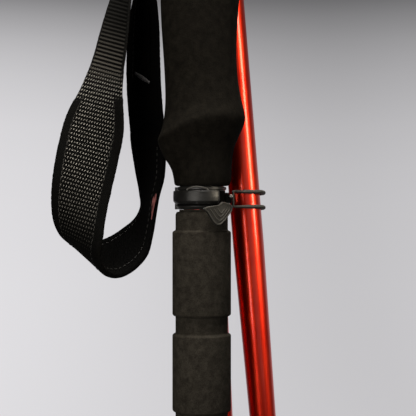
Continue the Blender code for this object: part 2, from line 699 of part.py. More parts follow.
def make_mid(shop, mid, link, button_home, lower_link_end):
    shop.tube("mid_tube", MID_R, MID_BORE_R, MID_LENGTH - 1, SPIGOT_OUT, "red", mid)
    ring_r = MID_R + 1.1
    shop.turned(
        "mid_end_ring",
        [
            (MID_BORE_R, MID_LENGTH), (ring_r - 0.4, MID_LENGTH), (ring_r, MID_LENGTH - 0.5),
            (ring_r, MID_LENGTH - 8.6), (ring_r - 0.4, MID_LENGTH - 9), (MID_R + 0.3, MID_LENGTH - 9),
            (MID_R + 0.3, MID_LENGTH - 0.7), (MID_BORE_R, MID_LENGTH - 0.7),
        ],
        "metal", mid,
    )
    make_spigot(shop, "mid", MID_SPIGOT_R, MID_BORE_R, mid)
    make_tension(shop, "upper", MID_BORE_R, mid, link)

    # The lock button stands through the spigot's wall, on a leaf spring
    spigot = bpy.data.objects["mid_spigot"]
    way = (mid.matrix_world.to_3x3().inverted() @ button_way()).normalized()
    seat = Vector((0, 0, BUTTON_AT))
    shop.boolean(spigot, shop.rod("cut_button_seat", seat + 4 * way, seat + 11 * way, 2.4, None, mid))
    shop.rod("lock_button", seat + 5.4 * way, seat + 9.3 * way, 2.1, "metal", mid, holder=button_home)
    side = UP.cross(way)
    leaf = [(4.9, -2.0), (5.1, 0.0), (4.9, 2.0), (3.6, 7.0), (2.6, 12.0)]
    width, thick = 1.6, 0.2
    rings = []
    for away, height in leaf:
        middle = way * away + UP * (BUTTON_AT + height)
        corners = ((-width, thick), (width, thick), (width, -thick), (-width, -thick))
        rings.append([middle + side * s + way * t for s, t in corners])
    shop.loft("lock_button_spring", rings, "metal", mid)

    anchor_top = MID_LENGTH - SPIGOT_OUT - 12
    anchor_low = anchor_top - ANCHOR_HEIGHT
    shop.tube(
        "mid_cord_anchor", MID_BORE_R - 0.2, CORD_R + 0.2, anchor_top, anchor_low, "plastic", mid
    )
    shop.disc("mid_cord", CORD_R, MID_LENGTH - 0.3, anchor_low, "cord", mid, steps=12)
    into = mid.matrix_world.inverted()
    shift = Vector((0, 0, COLLAR_Z))

    def here(point):
        return (into @ ((point + shift) * MM)) / MM

    turn = into.to_3x3()
    start = Vector((0, 0, MID_LENGTH))
    end = here(lower_link_end)
    route = bend(start, UP, end, (turn @ -TIP_DOWN).normalized())
    shop.wire("lower_cord_bend", route, CORD_R, "cord", mid)


def make_tip(shop, tip, link, basket_home):
    shop.turned(
        "tip_tube",
        [
            (TAPER_END_R, TIP_TUBE_END), (TIP_R, TAPER_FROM), (TIP_R, SPIGOT_OUT), (TIP_BORE_R, SPIGOT_OUT),
            (TIP_BORE_R, TAPER_FROM), (TAPER_END_R - 0.9, TIP_TUBE_END),
        ],
        "red", tip,
    )
    make_spigot(shop, "tip", TIP_SPIGOT_R, TIP_BORE_R, tip)
    make_tension(shop, "lower", TIP_BORE_R, tip, link)

    end = TIP_TUBE_END
    holder_r = TAPER_END_R - 1.1
    shop.turned(
        "tip_holder",
        [
            (0, TIP_LENGTH - 6), (3.4, TIP_LENGTH - 6), (4.2, TIP_LENGTH - 9), (4.4, BASKET_AT + 6),
            (4.6, BASKET_AT + 5), (4.6, BASKET_AT - 5), (TAPER_END_R + 1.2, BASKET_AT - 8),
            (TAPER_END_R + 1.2, end + 0.4), (holder_r, end + 0.4), (holder_r, end - 22), (0, end - 22),
        ],
        "plastic", tip, closed=False,
    )
    shop.turned(
        "carbide_tip",
        [
            (0, TIP_LENGTH), (2.3, TIP_LENGTH), (2.6, TIP_LENGTH - 1.2), (2.6, TIP_LENGTH - 5.7),
            (0, TIP_LENGTH - 5.7),
        ],
        "metal", tip, closed=False,
    )
    bore = 4.8
    basket = shop.turned(
        "basket",
        [
            (6.6, BASKET_AT + 3.6), (7.4, BASKET_AT + 1.4), (16.9, BASKET_AT - 0.6),
            (17.8, BASKET_AT - 1.2), (17.8, BASKET_AT - 2.4), (16.6, BASKET_AT - 2.8),
            (7.0, BASKET_AT - 2.6), (bore, BASKET_AT - 2.6), (bore, BASKET_AT + 3.6),
        ],
        "plastic", tip, holder=basket_home,
    )
    holes = 6
    for k in range(holes):
        turn = 2 * math.pi * (k + 0.5) / holes
        middle = Vector((12.2 * math.cos(turn), 12.2 * math.sin(turn), BASKET_AT))
        cutter = shop.rod(f"cut_basket_{k}", middle - 6 * UP, middle + 6 * UP, 2.9, None, tip, steps=12)
        shop.boolean(basket, cutter)
    shop.tube("basket_nut", 6.4, bore, BASKET_AT + 5.6, BASKET_AT + 3.9, "plastic", tip, holder=basket_home)


def main():
    clear_scene()
    shop = Shop()
    root = shop.empty("grip_frame", Matrix.Identity(4))
    handle = shop.empty("handle_frame", Matrix.Identity(4))
    wedge = shop.empty("wedge_frame", Matrix.Translation((-16, 0, 126)))
    lever = shop.empty("lever_frame", Matrix.Translation(LEVER_PIN))
    screw = shop.empty("screw_frame", frame_at(Vector((0, LUG_Y, LUG_Z)), Vector((1, 0, 0)), UP))
    upper_axis, upper_point, _ = upper_hinge()
    lower_axis, lower_point, _ = lower_hinge()
    upper_link = shop.empty("upper_fold_frame", frame_at(upper_point, upper_axis))
    lower_link = shop.empty("lower_fold_frame", frame_at(lower_point, lower_axis))
    mid = shop.empty("mid_frame", frame_at(MID_FOOT, MID_UP))
    button = shop.empty("button_frame", frame_at(MID_FOOT + BUTTON_AT * MID_UP, button_way()))
    tip = shop.empty("tip_frame", frame_at(TIP_HEAD, TIP_DOWN))
    basket = shop.empty("basket_frame", frame_at(TIP_HEAD + BASKET_AT * TIP_DOWN, TIP_DOWN))
    make_grip(shop, root, wedge)
    make_strap(shop, root)
    make_handle(shop, handle)
    make_collar(shop, handle, lever, screw)
    make_keeper(shop, handle)
    make_mid(shop, mid, upper_link, button, TIP_HEAD - 0.3 * TIP_DOWN)
    make_tip(shop, tip, lower_link, basket)
    for child, holder in (
        (handle, root), (wedge, root), (lever, handle), (screw, handle), (upper_link, handle),
        (mid, upper_link), (button, mid), (lower_link, mid), (tip, lower_link), (basket, tip),
    ):
        child.parent = holder
        child.matrix_parent_inverse = holder.matrix_world.inverted()


main()
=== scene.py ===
"""The looks of a folded trekking pole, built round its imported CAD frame."""

import json  # noqa: E402
import math  # noqa: E402

import bmesh  # noqa: E402
import bpy  # noqa: E402
import numpy as np  # noqa: E402
from mathutils import Matrix, Vector, noise  # noqa: E402

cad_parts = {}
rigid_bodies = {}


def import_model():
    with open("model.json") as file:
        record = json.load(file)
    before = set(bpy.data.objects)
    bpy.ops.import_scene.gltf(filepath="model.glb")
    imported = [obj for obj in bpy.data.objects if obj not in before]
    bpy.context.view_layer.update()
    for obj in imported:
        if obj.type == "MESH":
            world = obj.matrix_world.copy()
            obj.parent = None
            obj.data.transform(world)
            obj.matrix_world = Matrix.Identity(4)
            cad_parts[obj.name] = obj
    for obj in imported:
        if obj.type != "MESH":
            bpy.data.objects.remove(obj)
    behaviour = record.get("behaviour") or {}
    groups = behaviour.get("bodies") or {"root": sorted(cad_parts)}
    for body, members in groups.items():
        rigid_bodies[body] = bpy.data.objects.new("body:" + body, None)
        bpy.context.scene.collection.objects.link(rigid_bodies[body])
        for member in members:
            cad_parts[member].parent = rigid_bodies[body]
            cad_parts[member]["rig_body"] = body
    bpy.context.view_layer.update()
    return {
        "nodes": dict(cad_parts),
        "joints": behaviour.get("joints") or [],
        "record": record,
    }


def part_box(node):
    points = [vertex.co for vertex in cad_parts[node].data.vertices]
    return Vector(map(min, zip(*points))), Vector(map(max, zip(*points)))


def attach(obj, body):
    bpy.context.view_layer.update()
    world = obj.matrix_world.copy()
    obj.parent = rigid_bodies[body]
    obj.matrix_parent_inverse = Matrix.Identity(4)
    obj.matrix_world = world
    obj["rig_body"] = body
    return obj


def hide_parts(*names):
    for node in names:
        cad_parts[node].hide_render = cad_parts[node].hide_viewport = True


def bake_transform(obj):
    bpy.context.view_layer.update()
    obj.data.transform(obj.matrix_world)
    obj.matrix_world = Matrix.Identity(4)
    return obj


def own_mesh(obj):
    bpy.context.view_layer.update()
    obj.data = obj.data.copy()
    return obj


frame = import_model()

MM = 0.001
UP = Vector((0, 0, 1))
JOINTS = {joint["name"]: joint for joint in frame["joints"]}
COLLAR_Z = JOINTS["clamp_lever_flip"]["pos_m"][2]  # heights below are in mm above the collar's middle
COLLAR = Matrix.Translation((0, 0, COLLAR_Z)) @ Matrix.Scale(MM, 4)


# ---------------------------------------------------------------- camera, first of all

CAMERA_AT = Vector((0.00315, -0.590, -0.0755))
VIEW_ANGLE = math.radians(20)


def make_camera():
    camera = bpy.data.cameras.new("camera")
    camera.sensor_width = 36
    camera.lens = camera.sensor_width / 2 / math.tan(VIEW_ANGLE / 2)
    camera.clip_start = 0.02
    camera.clip_end = 20
    obj = bpy.data.objects.new("camera", camera)
    obj.location = CAMERA_AT
    obj.rotation_euler = (math.pi / 2, 0, 0)
    bpy.context.scene.collection.objects.link(obj)
    bpy.context.scene.camera = obj


# ---------------------------------------------------------------- node materials

class Paint:
    """A material under construction. Colours and heights come from the piece's own coordinates."""

    def __init__(self, name, roughness=0.5, metallic=0.0, specular=0.5, colour=None):
        self.material = bpy.data.materials.new(name)
        self.material.use_nodes = True
        self.tree = self.material.node_tree
        self.shader = self.tree.nodes["Principled BSDF"]
        self.set(Roughness=roughness, Metallic=metallic)
        self.shader.inputs["Specular IOR Level"].default_value = specular
        if colour:
            self.shader.inputs["Base Color"].default_value = (*colour, 1)

    def set(self, **values):
        for name, value in values.items():
            self.shader.inputs[name.replace("_", " ")].default_value = value

    def node(self, kind, inputs=(), **settings):
        made = self.tree.nodes.new("ShaderNode" + kind)
        for name, value in settings.items():
            setattr(made, name, value)
        for key, value in dict(inputs).items():
            self.feed(made.inputs[key], value)
        return made

    def feed(self, socket, value):
        if isinstance(value, bpy.types.NodeSocket):
            self.tree.links.new(value, socket)
        else:
            socket.default_value = value

    def place(self, scale=(1, 1, 1), source="Object"):
        """The piece's own coordinates, in millimetres along the pole's axes, times scale."""
        coordinates = self.node("TexCoord").outputs[source]
        unit = 1 / MM if source == "Object" else 1
        factors = tuple(s * unit for s in scale)
        return self.node("Mapping", {"Vector": coordinates, "Scale": factors}).outputs["Vector"]

    def noise(self, vector, scale, detail=3.0, rough=0.55, distortion=0.0):
        inputs = {
            "Vector": vector, "Scale": scale, "Detail": detail, "Roughness": rough, "Distortion": distortion,
        }
        return self.node("TexNoise", inputs).outputs["Fac"]

    def cells(self, vector, scale, feature="F1", output="Distance"):
        return self.node("TexVoronoi", {"Vector": vector, "Scale": scale}, feature=feature).outputs[output]

    def math(self, operation, *values):
        return self.node("Math", dict(enumerate(values)), operation=operation).outputs[0]

    def span(self, value, from_low, from_high, to_low=0.0, to_high=1.0):
        """value carried smoothly from one range to another, and held at its ends."""
        inputs = {0: value, 1: from_low, 2: from_high, 3: to_low, 4: to_high}
        made = self.node("MapRange", inputs, interpolation_type="SMOOTHSTEP")
        return made.outputs[0]

    def mix(self, share, a, b):
        made = self.node("Mix", data_type="RGBA")
        for index, value in ((0, share), (6, a), (7, b)):
            self.feed(made.inputs[index], value if not isinstance(value, tuple) else (*value, 1))
        return made.outputs[2]

    def attribute(self, name):
        return self.node("Attribute", attribute_name=name).outputs["Fac"]

    def colour(self, value):
        self.feed(self.shader.inputs["Base Color"], value)

    def rough(self, value):
        self.feed(self.shader.inputs["Roughness"], value)

    def bump(self, height, distance, strength=1.0):
        """Adds a relief of height times distance, in millimetres, on top of the relief so far."""
        made = self.node("Bump", {"Height": height, "Distance": distance * MM, "Strength": strength})
        if self.shader.inputs["Normal"].is_linked:
            self.feed(made.inputs["Normal"], self.shader.inputs["Normal"].links[0].from_socket)
        self.feed(self.shader.inputs["Normal"], made.outputs["Normal"])


def foam_material(name, dark, light):
    """EVA foam: fine closed cells, faint mottling, a dry matte skin."""
    paint = Paint(name, roughness=0.92, specular=0.03)
    at = paint.place()
    mottle = paint.noise(at, 0.28, detail=5, rough=0.65)
    grain = paint.noise(at, 1.9, detail=4, rough=0.7)
    cells = paint.cells(at, 1.35)
    shade = paint.math("ADD", paint.math("MULTIPLY", mottle, 0.55), paint.math("MULTIPLY", grain, 0.45))
    spots = paint.span(cells, 0.05, 0.32, 0.0, 1.0)
    body = paint.mix(paint.span(shade, 0.32, 0.7), dark, light)
    paint.colour(paint.mix(spots, tuple(0.7 * c for c in dark), body))
    paint.rough(paint.span(grain, 0.3, 0.7, 0.82, 0.97))
    paint.bump(grain, 0.12)
    paint.bump(spots, 0.05)
    paint.bump(mottle, 0.35)
    return paint.material


def strap_material():
    """Polyester webbing: ribs, open mesh or bound edges, as the piece's own attributes say."""
    paint = Paint("strap_fabric", roughness=0.85, specular=0.06)
    at = paint.place(source="UV")
    split = paint.node("SeparateXYZ", {"Vector": at})
    across, along = split.outputs["X"], split.outputs["Y"]
    # The rib attribute is the ribs' mask times a painted shade that darkens them towards the top
    mesh, ribs = paint.attribute("mesh"), paint.attribute("rib")

    turn = 2 * math.pi

    def wave(value, period, shift=0.0):
        angle = paint.math("ADD", paint.math("MULTIPLY", value, turn / period), shift)
        return paint.math("MULTIPLY_ADD", paint.math("SINE", angle), 0.5, 0.5)

    # The mesh's bright threads stand in columns and lean over a little from row to row
    lean = paint.math("MULTIPLY_ADD", along, 0.4, across)
    column = wave(lean, MESH_COLUMN)
    row = wave(along, MESH_ROW)
    dash = paint.math("MULTIPLY", paint.span(column, 0.52, 0.88), paint.span(row, 0.42, 0.78))
    fuzz = paint.noise(at, 1.6, detail=3)
    thread = paint.math("MULTIPLY", dash, paint.span(fuzz, 0.3, 0.62, 0.45, 1.0))
    ridge = paint.span(wave(along, RIB_PERIOD, -math.pi / 2), 0.25, 0.85)
    twill = paint.math("MULTIPLY", wave(paint.math("ADD", across, along), 0.55), wave(across, 0.42))
    weave = paint.math("MULTIPLY_ADD", twill, 0.5, paint.math("MULTIPLY", fuzz, 0.5))

    cloth = paint.mix(paint.span(weave, 0.2, 0.75), (0.0006, 0.0006, 0.0005), (0.003, 0.0028, 0.0022))
    ribbed = paint.mix(ridge, (0.0006, 0.0006, 0.0005), (0.08, 0.074, 0.062))
    ribbed = paint.mix(paint.math("MULTIPLY", weave, 0.35), ribbed, (0.005, 0.0046, 0.0038))
    netted = paint.mix(thread, (0.0006, 0.0006, 0.0005), (0.30, 0.285, 0.25))
    surface = paint.mix(ribs, cloth, ribbed)
    paint.colour(paint.mix(mesh, surface, netted))
    paint.bump(paint.math("MULTIPLY", thread, mesh), 0.35)
    paint.bump(paint.math("MULTIPLY", ridge, ribs), 0.2)
    paint.bump(weave, 0.12)
    return paint.material


def lining_material(name, dark, light):
    """The strap's inner face: a black brushed knit."""
    paint = Paint(name, roughness=0.95, specular=0.03)
    at = paint.place(source="UV")
    fuzz = paint.noise(at, 1.4, detail=5, rough=0.7)
    knit = paint.noise(paint.place((2.2, 0.8, 1), source="UV"), 0.9, detail=2)
    shade = paint.span(paint.math("MULTIPLY_ADD", fuzz, 0.6, paint.math("MULTIPLY", knit, 0.4)), 0.35, 0.7)
    paint.colour(paint.mix(shade, dark, light))
    paint.bump(fuzz, 0.15)
    return paint.material


def thread_material():
    paint = Paint("sewing_thread", roughness=0.6, specular=0.35)
    at = paint.place()
    paint.colour(paint.mix(paint.noise(at, 4.0), (0.004, 0.0037, 0.003), (0.013, 0.012, 0.010)))
    paint.bump(paint.noise(at, 9.0), 0.03)
    return paint.material


def label_material():
    """A plain woven tab, faded red."""
    paint = Paint("woven_label", roughness=0.8, specular=0.2)
    at = paint.place()
    weave = paint.noise(at, 3.5)
    paint.colour(paint.mix(paint.span(weave, 0.3, 0.7), (0.14, 0.043, 0.041), (0.27, 0.096, 0.09)))
    paint.bump(weave, 0.06)
    return paint.material


def anodised_material(name, deep, bright, roughness=0.27):
    """Drawn and anodised tube: a tinted metal with faint lines along its length and small rubs."""
    paint = Paint(name, roughness=roughness, metallic=1.0)
    at = paint.place()
    lines = paint.noise(paint.place((1, 1, 0.012)), 2.6, detail=4, rough=0.7)
    cloud = paint.noise(at, 0.05, detail=3)
    rub = paint.noise(paint.place((1, 1, 0.45)), 0.55, detail=6, rough=0.75, distortion=0.6)
    worn = paint.span(rub, 0.76, 0.82)
    mottled = paint.math("ADD", cloud, paint.math("MULTIPLY", lines, 0.5))
    tint = paint.mix(paint.span(mottled, 0.5, 1.0), deep, bright)
    paint.colour(paint.mix(paint.math("MULTIPLY", worn, 0.35), tint, (0.42, 0.16, 0.11)))
    rough = paint.span(lines, 0.25, 0.75, roughness - 0.04, roughness + 0.05)
    paint.rough(paint.math("MULTIPLY_ADD", worn, 0.14, rough))
    paint.set(Coat_Weight=0.4, Coat_Roughness=0.13)
    paint.bump(lines, 0.01)
    return paint.material


def plastic_material(name, low, high, roughness, grain=0.05, edge=0.35, raised=None, shine=0.3):
    """Moulded plastic with a fine grain, paler on its edges as wear and as a painted highlight, and on its raised
    parts if given a colour.
    """
    paint = Paint(name, roughness=roughness, specular=shine)
    at = paint.place()
    fine = paint.noise(at, 3.2, detail=3, rough=0.6)
    cloud = paint.noise(at, 0.16, detail=4)
    grains = paint.math("MULTIPLY_ADD", fine, 0.4, paint.math("MULTIPLY", cloud, 0.6))
    shade = paint.mix(paint.span(grains, 0.35, 0.65), low, high)
    # Edges are painted paler: partly wear, partly a painted highlight
    edge_wear_and_highlight = paint.span(paint.node("NewGeometry").outputs["Pointiness"], 0.53, 0.62)
    worn = tuple(c + edge * (0.12 - c) for c in high)
    shade = paint.mix(paint.math("MULTIPLY", edge_wear_and_highlight, 0.8), shade, worn)
    if raised:
        shade = paint.mix(paint.attribute("raised"), shade, raised)
    paint.colour(shade)
    paint.rough(paint.span(cloud, 0.3, 0.7, roughness - 0.06, roughness + 0.07))
    paint.bump(fine, grain)
    return paint.material


def metal_material(name, colour, roughness, turned=True):
    """Bare metal with its machining marks."""
    paint = Paint(name, roughness=roughness, metallic=1.0)
    marks = paint.noise(paint.place((0.12, 0.12, 1) if turned else (1, 1, 0.1)), 3.5, detail=4, rough=0.7)
    cloud = paint.noise(paint.place(), 0.2, detail=3)
    dark = tuple(0.72 * c for c in colour)
    paint.colour(paint.mix(paint.span(cloud, 0.3, 0.7), dark, colour))
    paint.rough(paint.span(marks, 0.2, 0.8, roughness - 0.08, roughness + 0.1))
    paint.bump(marks, 0.02)
    return paint.material


def cord_material():
    """A braided sheath: two sets of strands that wind round the cord and cross."""
    paint = Paint("braided_cord", roughness=0.7, specular=0.3)
    at = paint.place(source="UV")
    split = paint.node("SeparateXYZ", {"Vector": at})
    round_it, along = split.outputs["X"], split.outputs["Y"]
    turn = 2 * math.pi

    def strand(sense):
        climb = paint.math("MULTIPLY", along, sense * 2.6)
        angle = paint.math("ADD", paint.math("MULTIPLY", round_it, 4 * turn), climb)
        return paint.math("MULTIPLY_ADD", paint.math("SINE", angle), 0.5, 0.5)

    braid = paint.math("MAXIMUM", strand(1), strand(-1))
    paint.colour(paint.mix(paint.span(braid, 0.5, 1.0), (0.006, 0.006, 0.006), (0.05, 0.048, 0.044)))
    paint.bump(braid, 0.18)
    return paint.material


# ---------------------------------------------------------------- mesh making

def catmull(points, place):
    """The point at this place, counted in points, on the smooth curve through rows of numbers."""
    last = len(points) - 1
    i = int(min(max(math.floor(place), 0), last - 1))
    a, b, c, d = (points[min(max(i + k, 0), last)] for k in (-1, 0, 1, 2))
    t = place - i
    square, cube = 2 * a - 5 * b + 4 * c - d, 3 * b - a - 3 * c + d
    return 0.5 * (2 * b + (c - a) * t + square * t * t + cube * t ** 3)


def fillet(corners, closed, steps=5):
    """The outline through (x, y, radius) corners, with each corner rounded."""
    points = [Vector(c[:2]) for c in corners]
    made = []
    count = len(points)
    for i, corner in enumerate(corners):
        radius = corner[2] if len(corner) > 2 else 0
        if radius == 0 or (not closed and i in (0, count - 1)):
            made.append(points[i])
            continue
        back = (points[i - 1] - points[i])
        ahead = (points[(i + 1) % count] - points[i])
        half = back.angle(ahead) / 2
        reach = min(radius / math.tan(half), 0.49 * back.length, 0.49 * ahead.length)
        start, end = points[i] + back.normalized() * reach, points[i] + ahead.normalized() * reach
        for k in range(steps + 1):
            t = k / steps
            made.append((1 - t) ** 2 * start + 2 * t * (1 - t) * points[i] + t * t * end)
    return made


def mesh_piece(name, verts, faces, matrix=COLLAR, sharp=35):
    """A smooth-shaded mesh from points in millimetres in matrix's axes."""
    data = bpy.data.meshes.new(name)
    data.from_pydata([matrix @ Vector(v) for v in verts], [], faces)
    bm = bmesh.new()
    bm.from_mesh(data)
    bmesh.ops.recalc_face_normals(bm, faces=bm.faces)
    bm.to_mesh(data)
    bm.free()
    data.shade_smooth()
    data.set_sharp_from_angle(angle=math.radians(sharp))
    obj = bpy.data.objects.new(name, data)
    bpy.context.scene.collection.objects.link(obj)
    return obj


def grid(rows, ring=True, loop=False, caps=True):
    """(vertices, faces) of a skin over rows of equally many points."""
    wide, high = len(rows[0]), len(rows)
    verts = [p for row in rows for p in row]
    faces = []
    for j in range(high if loop else high - 1):
        n = (j + 1) % high
        for i in range(wide if ring else wide - 1):
            m = (i + 1) % wide
            faces.append((j * wide + i, j * wide + m, n * wide + m, n * wide + i))
    if caps and not loop:
        faces.append(tuple(range(wide))[::-1])
        faces.append(tuple(range((high - 1) * wide, high * wide)))
    return verts, faces


def turned(name, corners, matrix=COLLAR, closed=True, steps=96):
    """An outline of (radius, height, rounding) corners, turned about the axis."""
    outline = fillet(corners, closed)
    rows = []
    for k in range(steps):
        turn = 2 * math.pi * k / steps
        rows.append([(p.x * math.cos(turn), p.x * math.sin(turn), p.y) for p in outline])
    verts, faces = grid(rows, ring=closed, loop=True)
    obj = mesh_piece(name, verts, faces, matrix)
    if not closed:
        weld(obj)
    return obj


def weld(obj, reach=0.002 * MM):
    """Joins points that lie on each other, such as those on the axis of a turned piece."""
    bm = bmesh.new()
    bm.from_mesh(obj.data)
    bmesh.ops.remove_doubles(bm, verts=bm.verts, dist=reach)
    bmesh.ops.dissolve_degenerate(bm, dist=reach / 2, edges=bm.edges)
    bmesh.ops.recalc_face_normals(bm, faces=bm.faces)
    bm.to_mesh(obj.data)
    bm.free()


def sweep(name, points, section, loop=False, matrix=COLLAR):
    """A section of (side, out) points, or a function of 0 to 1 that gives one, carried along points.

    The UV map holds the way round the section, 0 to 1, and the millimetres along it.
    """
    points = [Vector(p) for p in points]
    count = len(points)
    rows, lengths = [], [0.0]
    side = None
    for i, p in enumerate(points):
        before = points[i - 1] if loop or i else p
        after = points[(i + 1) % count] if loop or i < count - 1 else p
        way = (after - before).normalized()
        if side is None:
            side = way.orthogonal().normalized()
        side = (side - way * side.dot(way)).normalized()
        out = way.cross(side)
        ring = section(i / (count - 1)) if callable(section) else section
        rows.append([p + side * s + out * t for s, t in ring])
        if i:
            lengths.append(lengths[-1] + (p - points[i - 1]).length)
    verts, faces = grid(rows, loop=loop)
    obj = mesh_piece(name, verts, faces, matrix)
    wide = len(rows[0])
    uv = obj.data.uv_layers.new(name="along_cord")
    for face in obj.data.polygons:
        columns = [obj.data.loops[k].vertex_index % wide for k in face.loop_indices]
        for k, column in zip(face.loop_indices, columns):
            turned_over = column == 0 and wide - 1 in columns
            row = obj.data.loops[k].vertex_index // wide
            uv.data[k].uv = (1.0 if turned_over else column / wide, lengths[row])
    return obj


def disc_section(radius, sides=12):
    turns = [2 * math.pi * k / sides for k in range(sides)]
    return [(radius * math.cos(t), radius * math.sin(t)) for t in turns]


def slab(name, outline, thickness, matrix, rounding=0.25, steps=3):
    """A plate of a closed outline, with both its rims rounded over. It stands on z = 0."""
    centre = sum((Vector(p) for p in outline), Vector((0, 0))) / len(outline)
    levels = []
    for k in range(steps + 1):
        turn = math.pi / 2 * k / steps
        levels.append((rounding * (1 - math.sin(turn)), rounding * (1 - math.cos(turn))))
    profile = levels + [(inset, thickness - z) for inset, z in reversed(levels)]
    rows = []
    for inset, z in profile:
        row = []
        for p in outline:
            away = Vector(p) - centre
            row.append((*(Vector(p) - away.normalized() * inset), z))
        rows.append(row)
    verts, faces = grid(rows)
    return mesh_piece(name, verts, faces, matrix)


def join(name, objects):
    """One object of several."""
    bm = bmesh.new()
    for obj in objects:
        bm.from_mesh(obj.data)
        bpy.data.objects.remove(obj)
    data = bpy.data.meshes.new(name)
    bm.to_mesh(data)
    bm.free()
    data.set_sharp_from_angle(angle=math.radians(35))
    obj = bpy.data.objects.new(name, data)
    bpy.context.scene.collection.objects.link(obj)
    return obj


def cut(obj, other, operation="DIFFERENCE"):
    """Cuts other out of obj, or joins it on, and takes other away."""
    modifier = obj.modifiers.new("cut", "BOOLEAN")
    modifier.operation = operation
    modifier.object = other
    bpy.context.view_layer.update()
    evaluated = obj.evaluated_get(bpy.context.evaluated_depsgraph_get())
    data = bpy.data.meshes.new_from_object(evaluated)
    obj.modifiers.clear()
    obj.data = data
    bpy.data.objects.remove(other)
    data.shade_smooth()
    data.set_sharp_from_angle(angle=math.radians(35))
    return obj


def soften(obj, width, segments=3, angle=30):
    """Rounds every edge sharper than angle, by width in millimetres."""
    modifier = obj.modifiers.new("rounded_edges", "BEVEL")
    modifier.width = width * MM
    modifier.segments = segments
    modifier.limit_method = "ANGLE"
    modifier.angle_limit = math.radians(angle)
    modifier.harden_normals = False
    return obj


def dress(obj, body, material, slot, *nodes):
    """Puts a piece on its body, in its material, in place of its CAD nodes."""
    obj.data.materials.clear()
    obj.data.materials.append(material)
    if body:
        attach(obj, body)
    if nodes:
        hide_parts(*nodes)
    return obj


# ---------------------------------------------------------------- the sections' axes

def axis_frame(centre, way):
    """Axes in millimetres at centre, with Z along way and X as near as can be to the pole's X."""
    z = Vector(way).normalized()
    x = (Vector((1, 0, 0)) - z * z.x).normalized()
    rotation = Matrix((x, z.cross(x), z)).transposed().to_4x4()
    return Matrix.Translation(centre) @ rotation @ Matrix.Scale(MM, 4)


def middle(node):
    low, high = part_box(node)
    return (low + high) / 2


SPIGOT_OUT = 34.0
MID_LENGTH = 350.0
MID_UP = -Vector(JOINTS["seat_upper"]["axis"])
MID_TUBE_MIDDLE = (SPIGOT_OUT + MID_LENGTH - 1) / 2
MID = axis_frame(middle("mid_tube") - MID_UP * MID_TUBE_MIDDLE * MM, MID_UP)
TIP_DOWN = -Vector(JOINTS["seat_lower"]["axis"])
BASKET_AT = 366.0
TIP_LENGTH = 420.0
TIP = axis_frame(Vector(JOINTS["basket_turn"]["pos_m"]) - TIP_DOWN * BASKET_AT * MM, TIP_DOWN)


# ---------------------------------------------------------------- upper grip

# (left x, its height, right x, its height, half depth, rise in front) of each ring, bottom to top
GRIP_RINGS = np.array([
    (-12.2, 5.5, 12.7, 5.5, 12.5, 0.0),
    (-13.5, 6.3, 14.1, 6.3, 13.5, 0.0),
    (-14.1, 9.5, 14.9, 9.5, 13.9, 0.0),
    (-14.9, 13.0, 15.1, 15.0, 14.0, 0.3),
    (-16.4, 16.2, 15.5, 20.5, 14.3, 1.5),
    (-18.6, 19.4, 16.6, 25.5, 15.1, 3.0),
    (-20.7, 23.8, 18.8, 30.5, 16.6, 4.2),
    (-21.9, 27.0, 20.9, 35.6, 18.1, 4.8),
    (-21.9, 29.0, 21.7, 39.0, 18.2, 5.0),
    (-20.7, 32.0, 21.4, 42.4, 17.3, 4.8),
    (-19.3, 37.0, 20.1, 47.5, 16.2, 4.0),
    (-18.4, 44.0, 18.8, 54.0, 15.6, 2.5),
    (-18.2, 52.0, 17.9, 61.0, 15.2, 1.0),
    (-18.7, 64.0, 17.4, 70.0, 15.1, 0.0),
    (-19.5, 76.0, 17.5, 79.0, 15.2, 0.0),
    (-20.2, 87.0, 18.0, 88.0, 15.4, 0.0),
    (-20.6, 98.0, 18.7, 98.0, 15.6, 0.0),
    (-20.8, 112.0, 19.4, 112.0, 15.9, 0.0),
])
HEAD_RINGS = np.array([
    (-20.2, 112.2, 18.8, 112.2, 15.3),
    (-20.9, 112.8, 19.5, 112.8, 16.0),
    (-21.6, 117.0, 20.0, 117.0, 16.4),
    (-22.2, 124.0, 20.3, 124.0, 16.6),
    (-21.6, 130.0, 19.6, 130.0, 15.9),
    (-19.6, 134.2, 17.4, 134.2, 14.0),
    (-16.6, 136.8, 14.6, 136.8, 11.6),
    (-12.0, 138.0, 10.5, 138.0, 8.2),
    (-6.0, 138.0, 5.0, 138.0, 4.0),
])
GRIP_BORE = 8.3


def oval_row(ring, count=120):
    """A tilted oval through its left and right ends, that arches up between them."""
    left, left_z, right, right_z, half, *arch = ring
    rise = arch[0] if arch else 0.0
    row = []
    for k in range(count):
        turn = 2 * math.pi * k / count
        side = math.cos(turn)
        x = (left + right) / 2 + (right - left) / 2 * side
        z = (left_z + right_z) / 2 + (right_z - left_z) / 2 * side + rise * (1 - side * side)
        row.append((x, half * math.sin(turn), z))
    return row


def smooth_rows(rings, per_span):
    count = (len(rings) - 1) * per_span
    return [oval_row(catmull(rings, k / per_span)) for k in range(count + 1)]


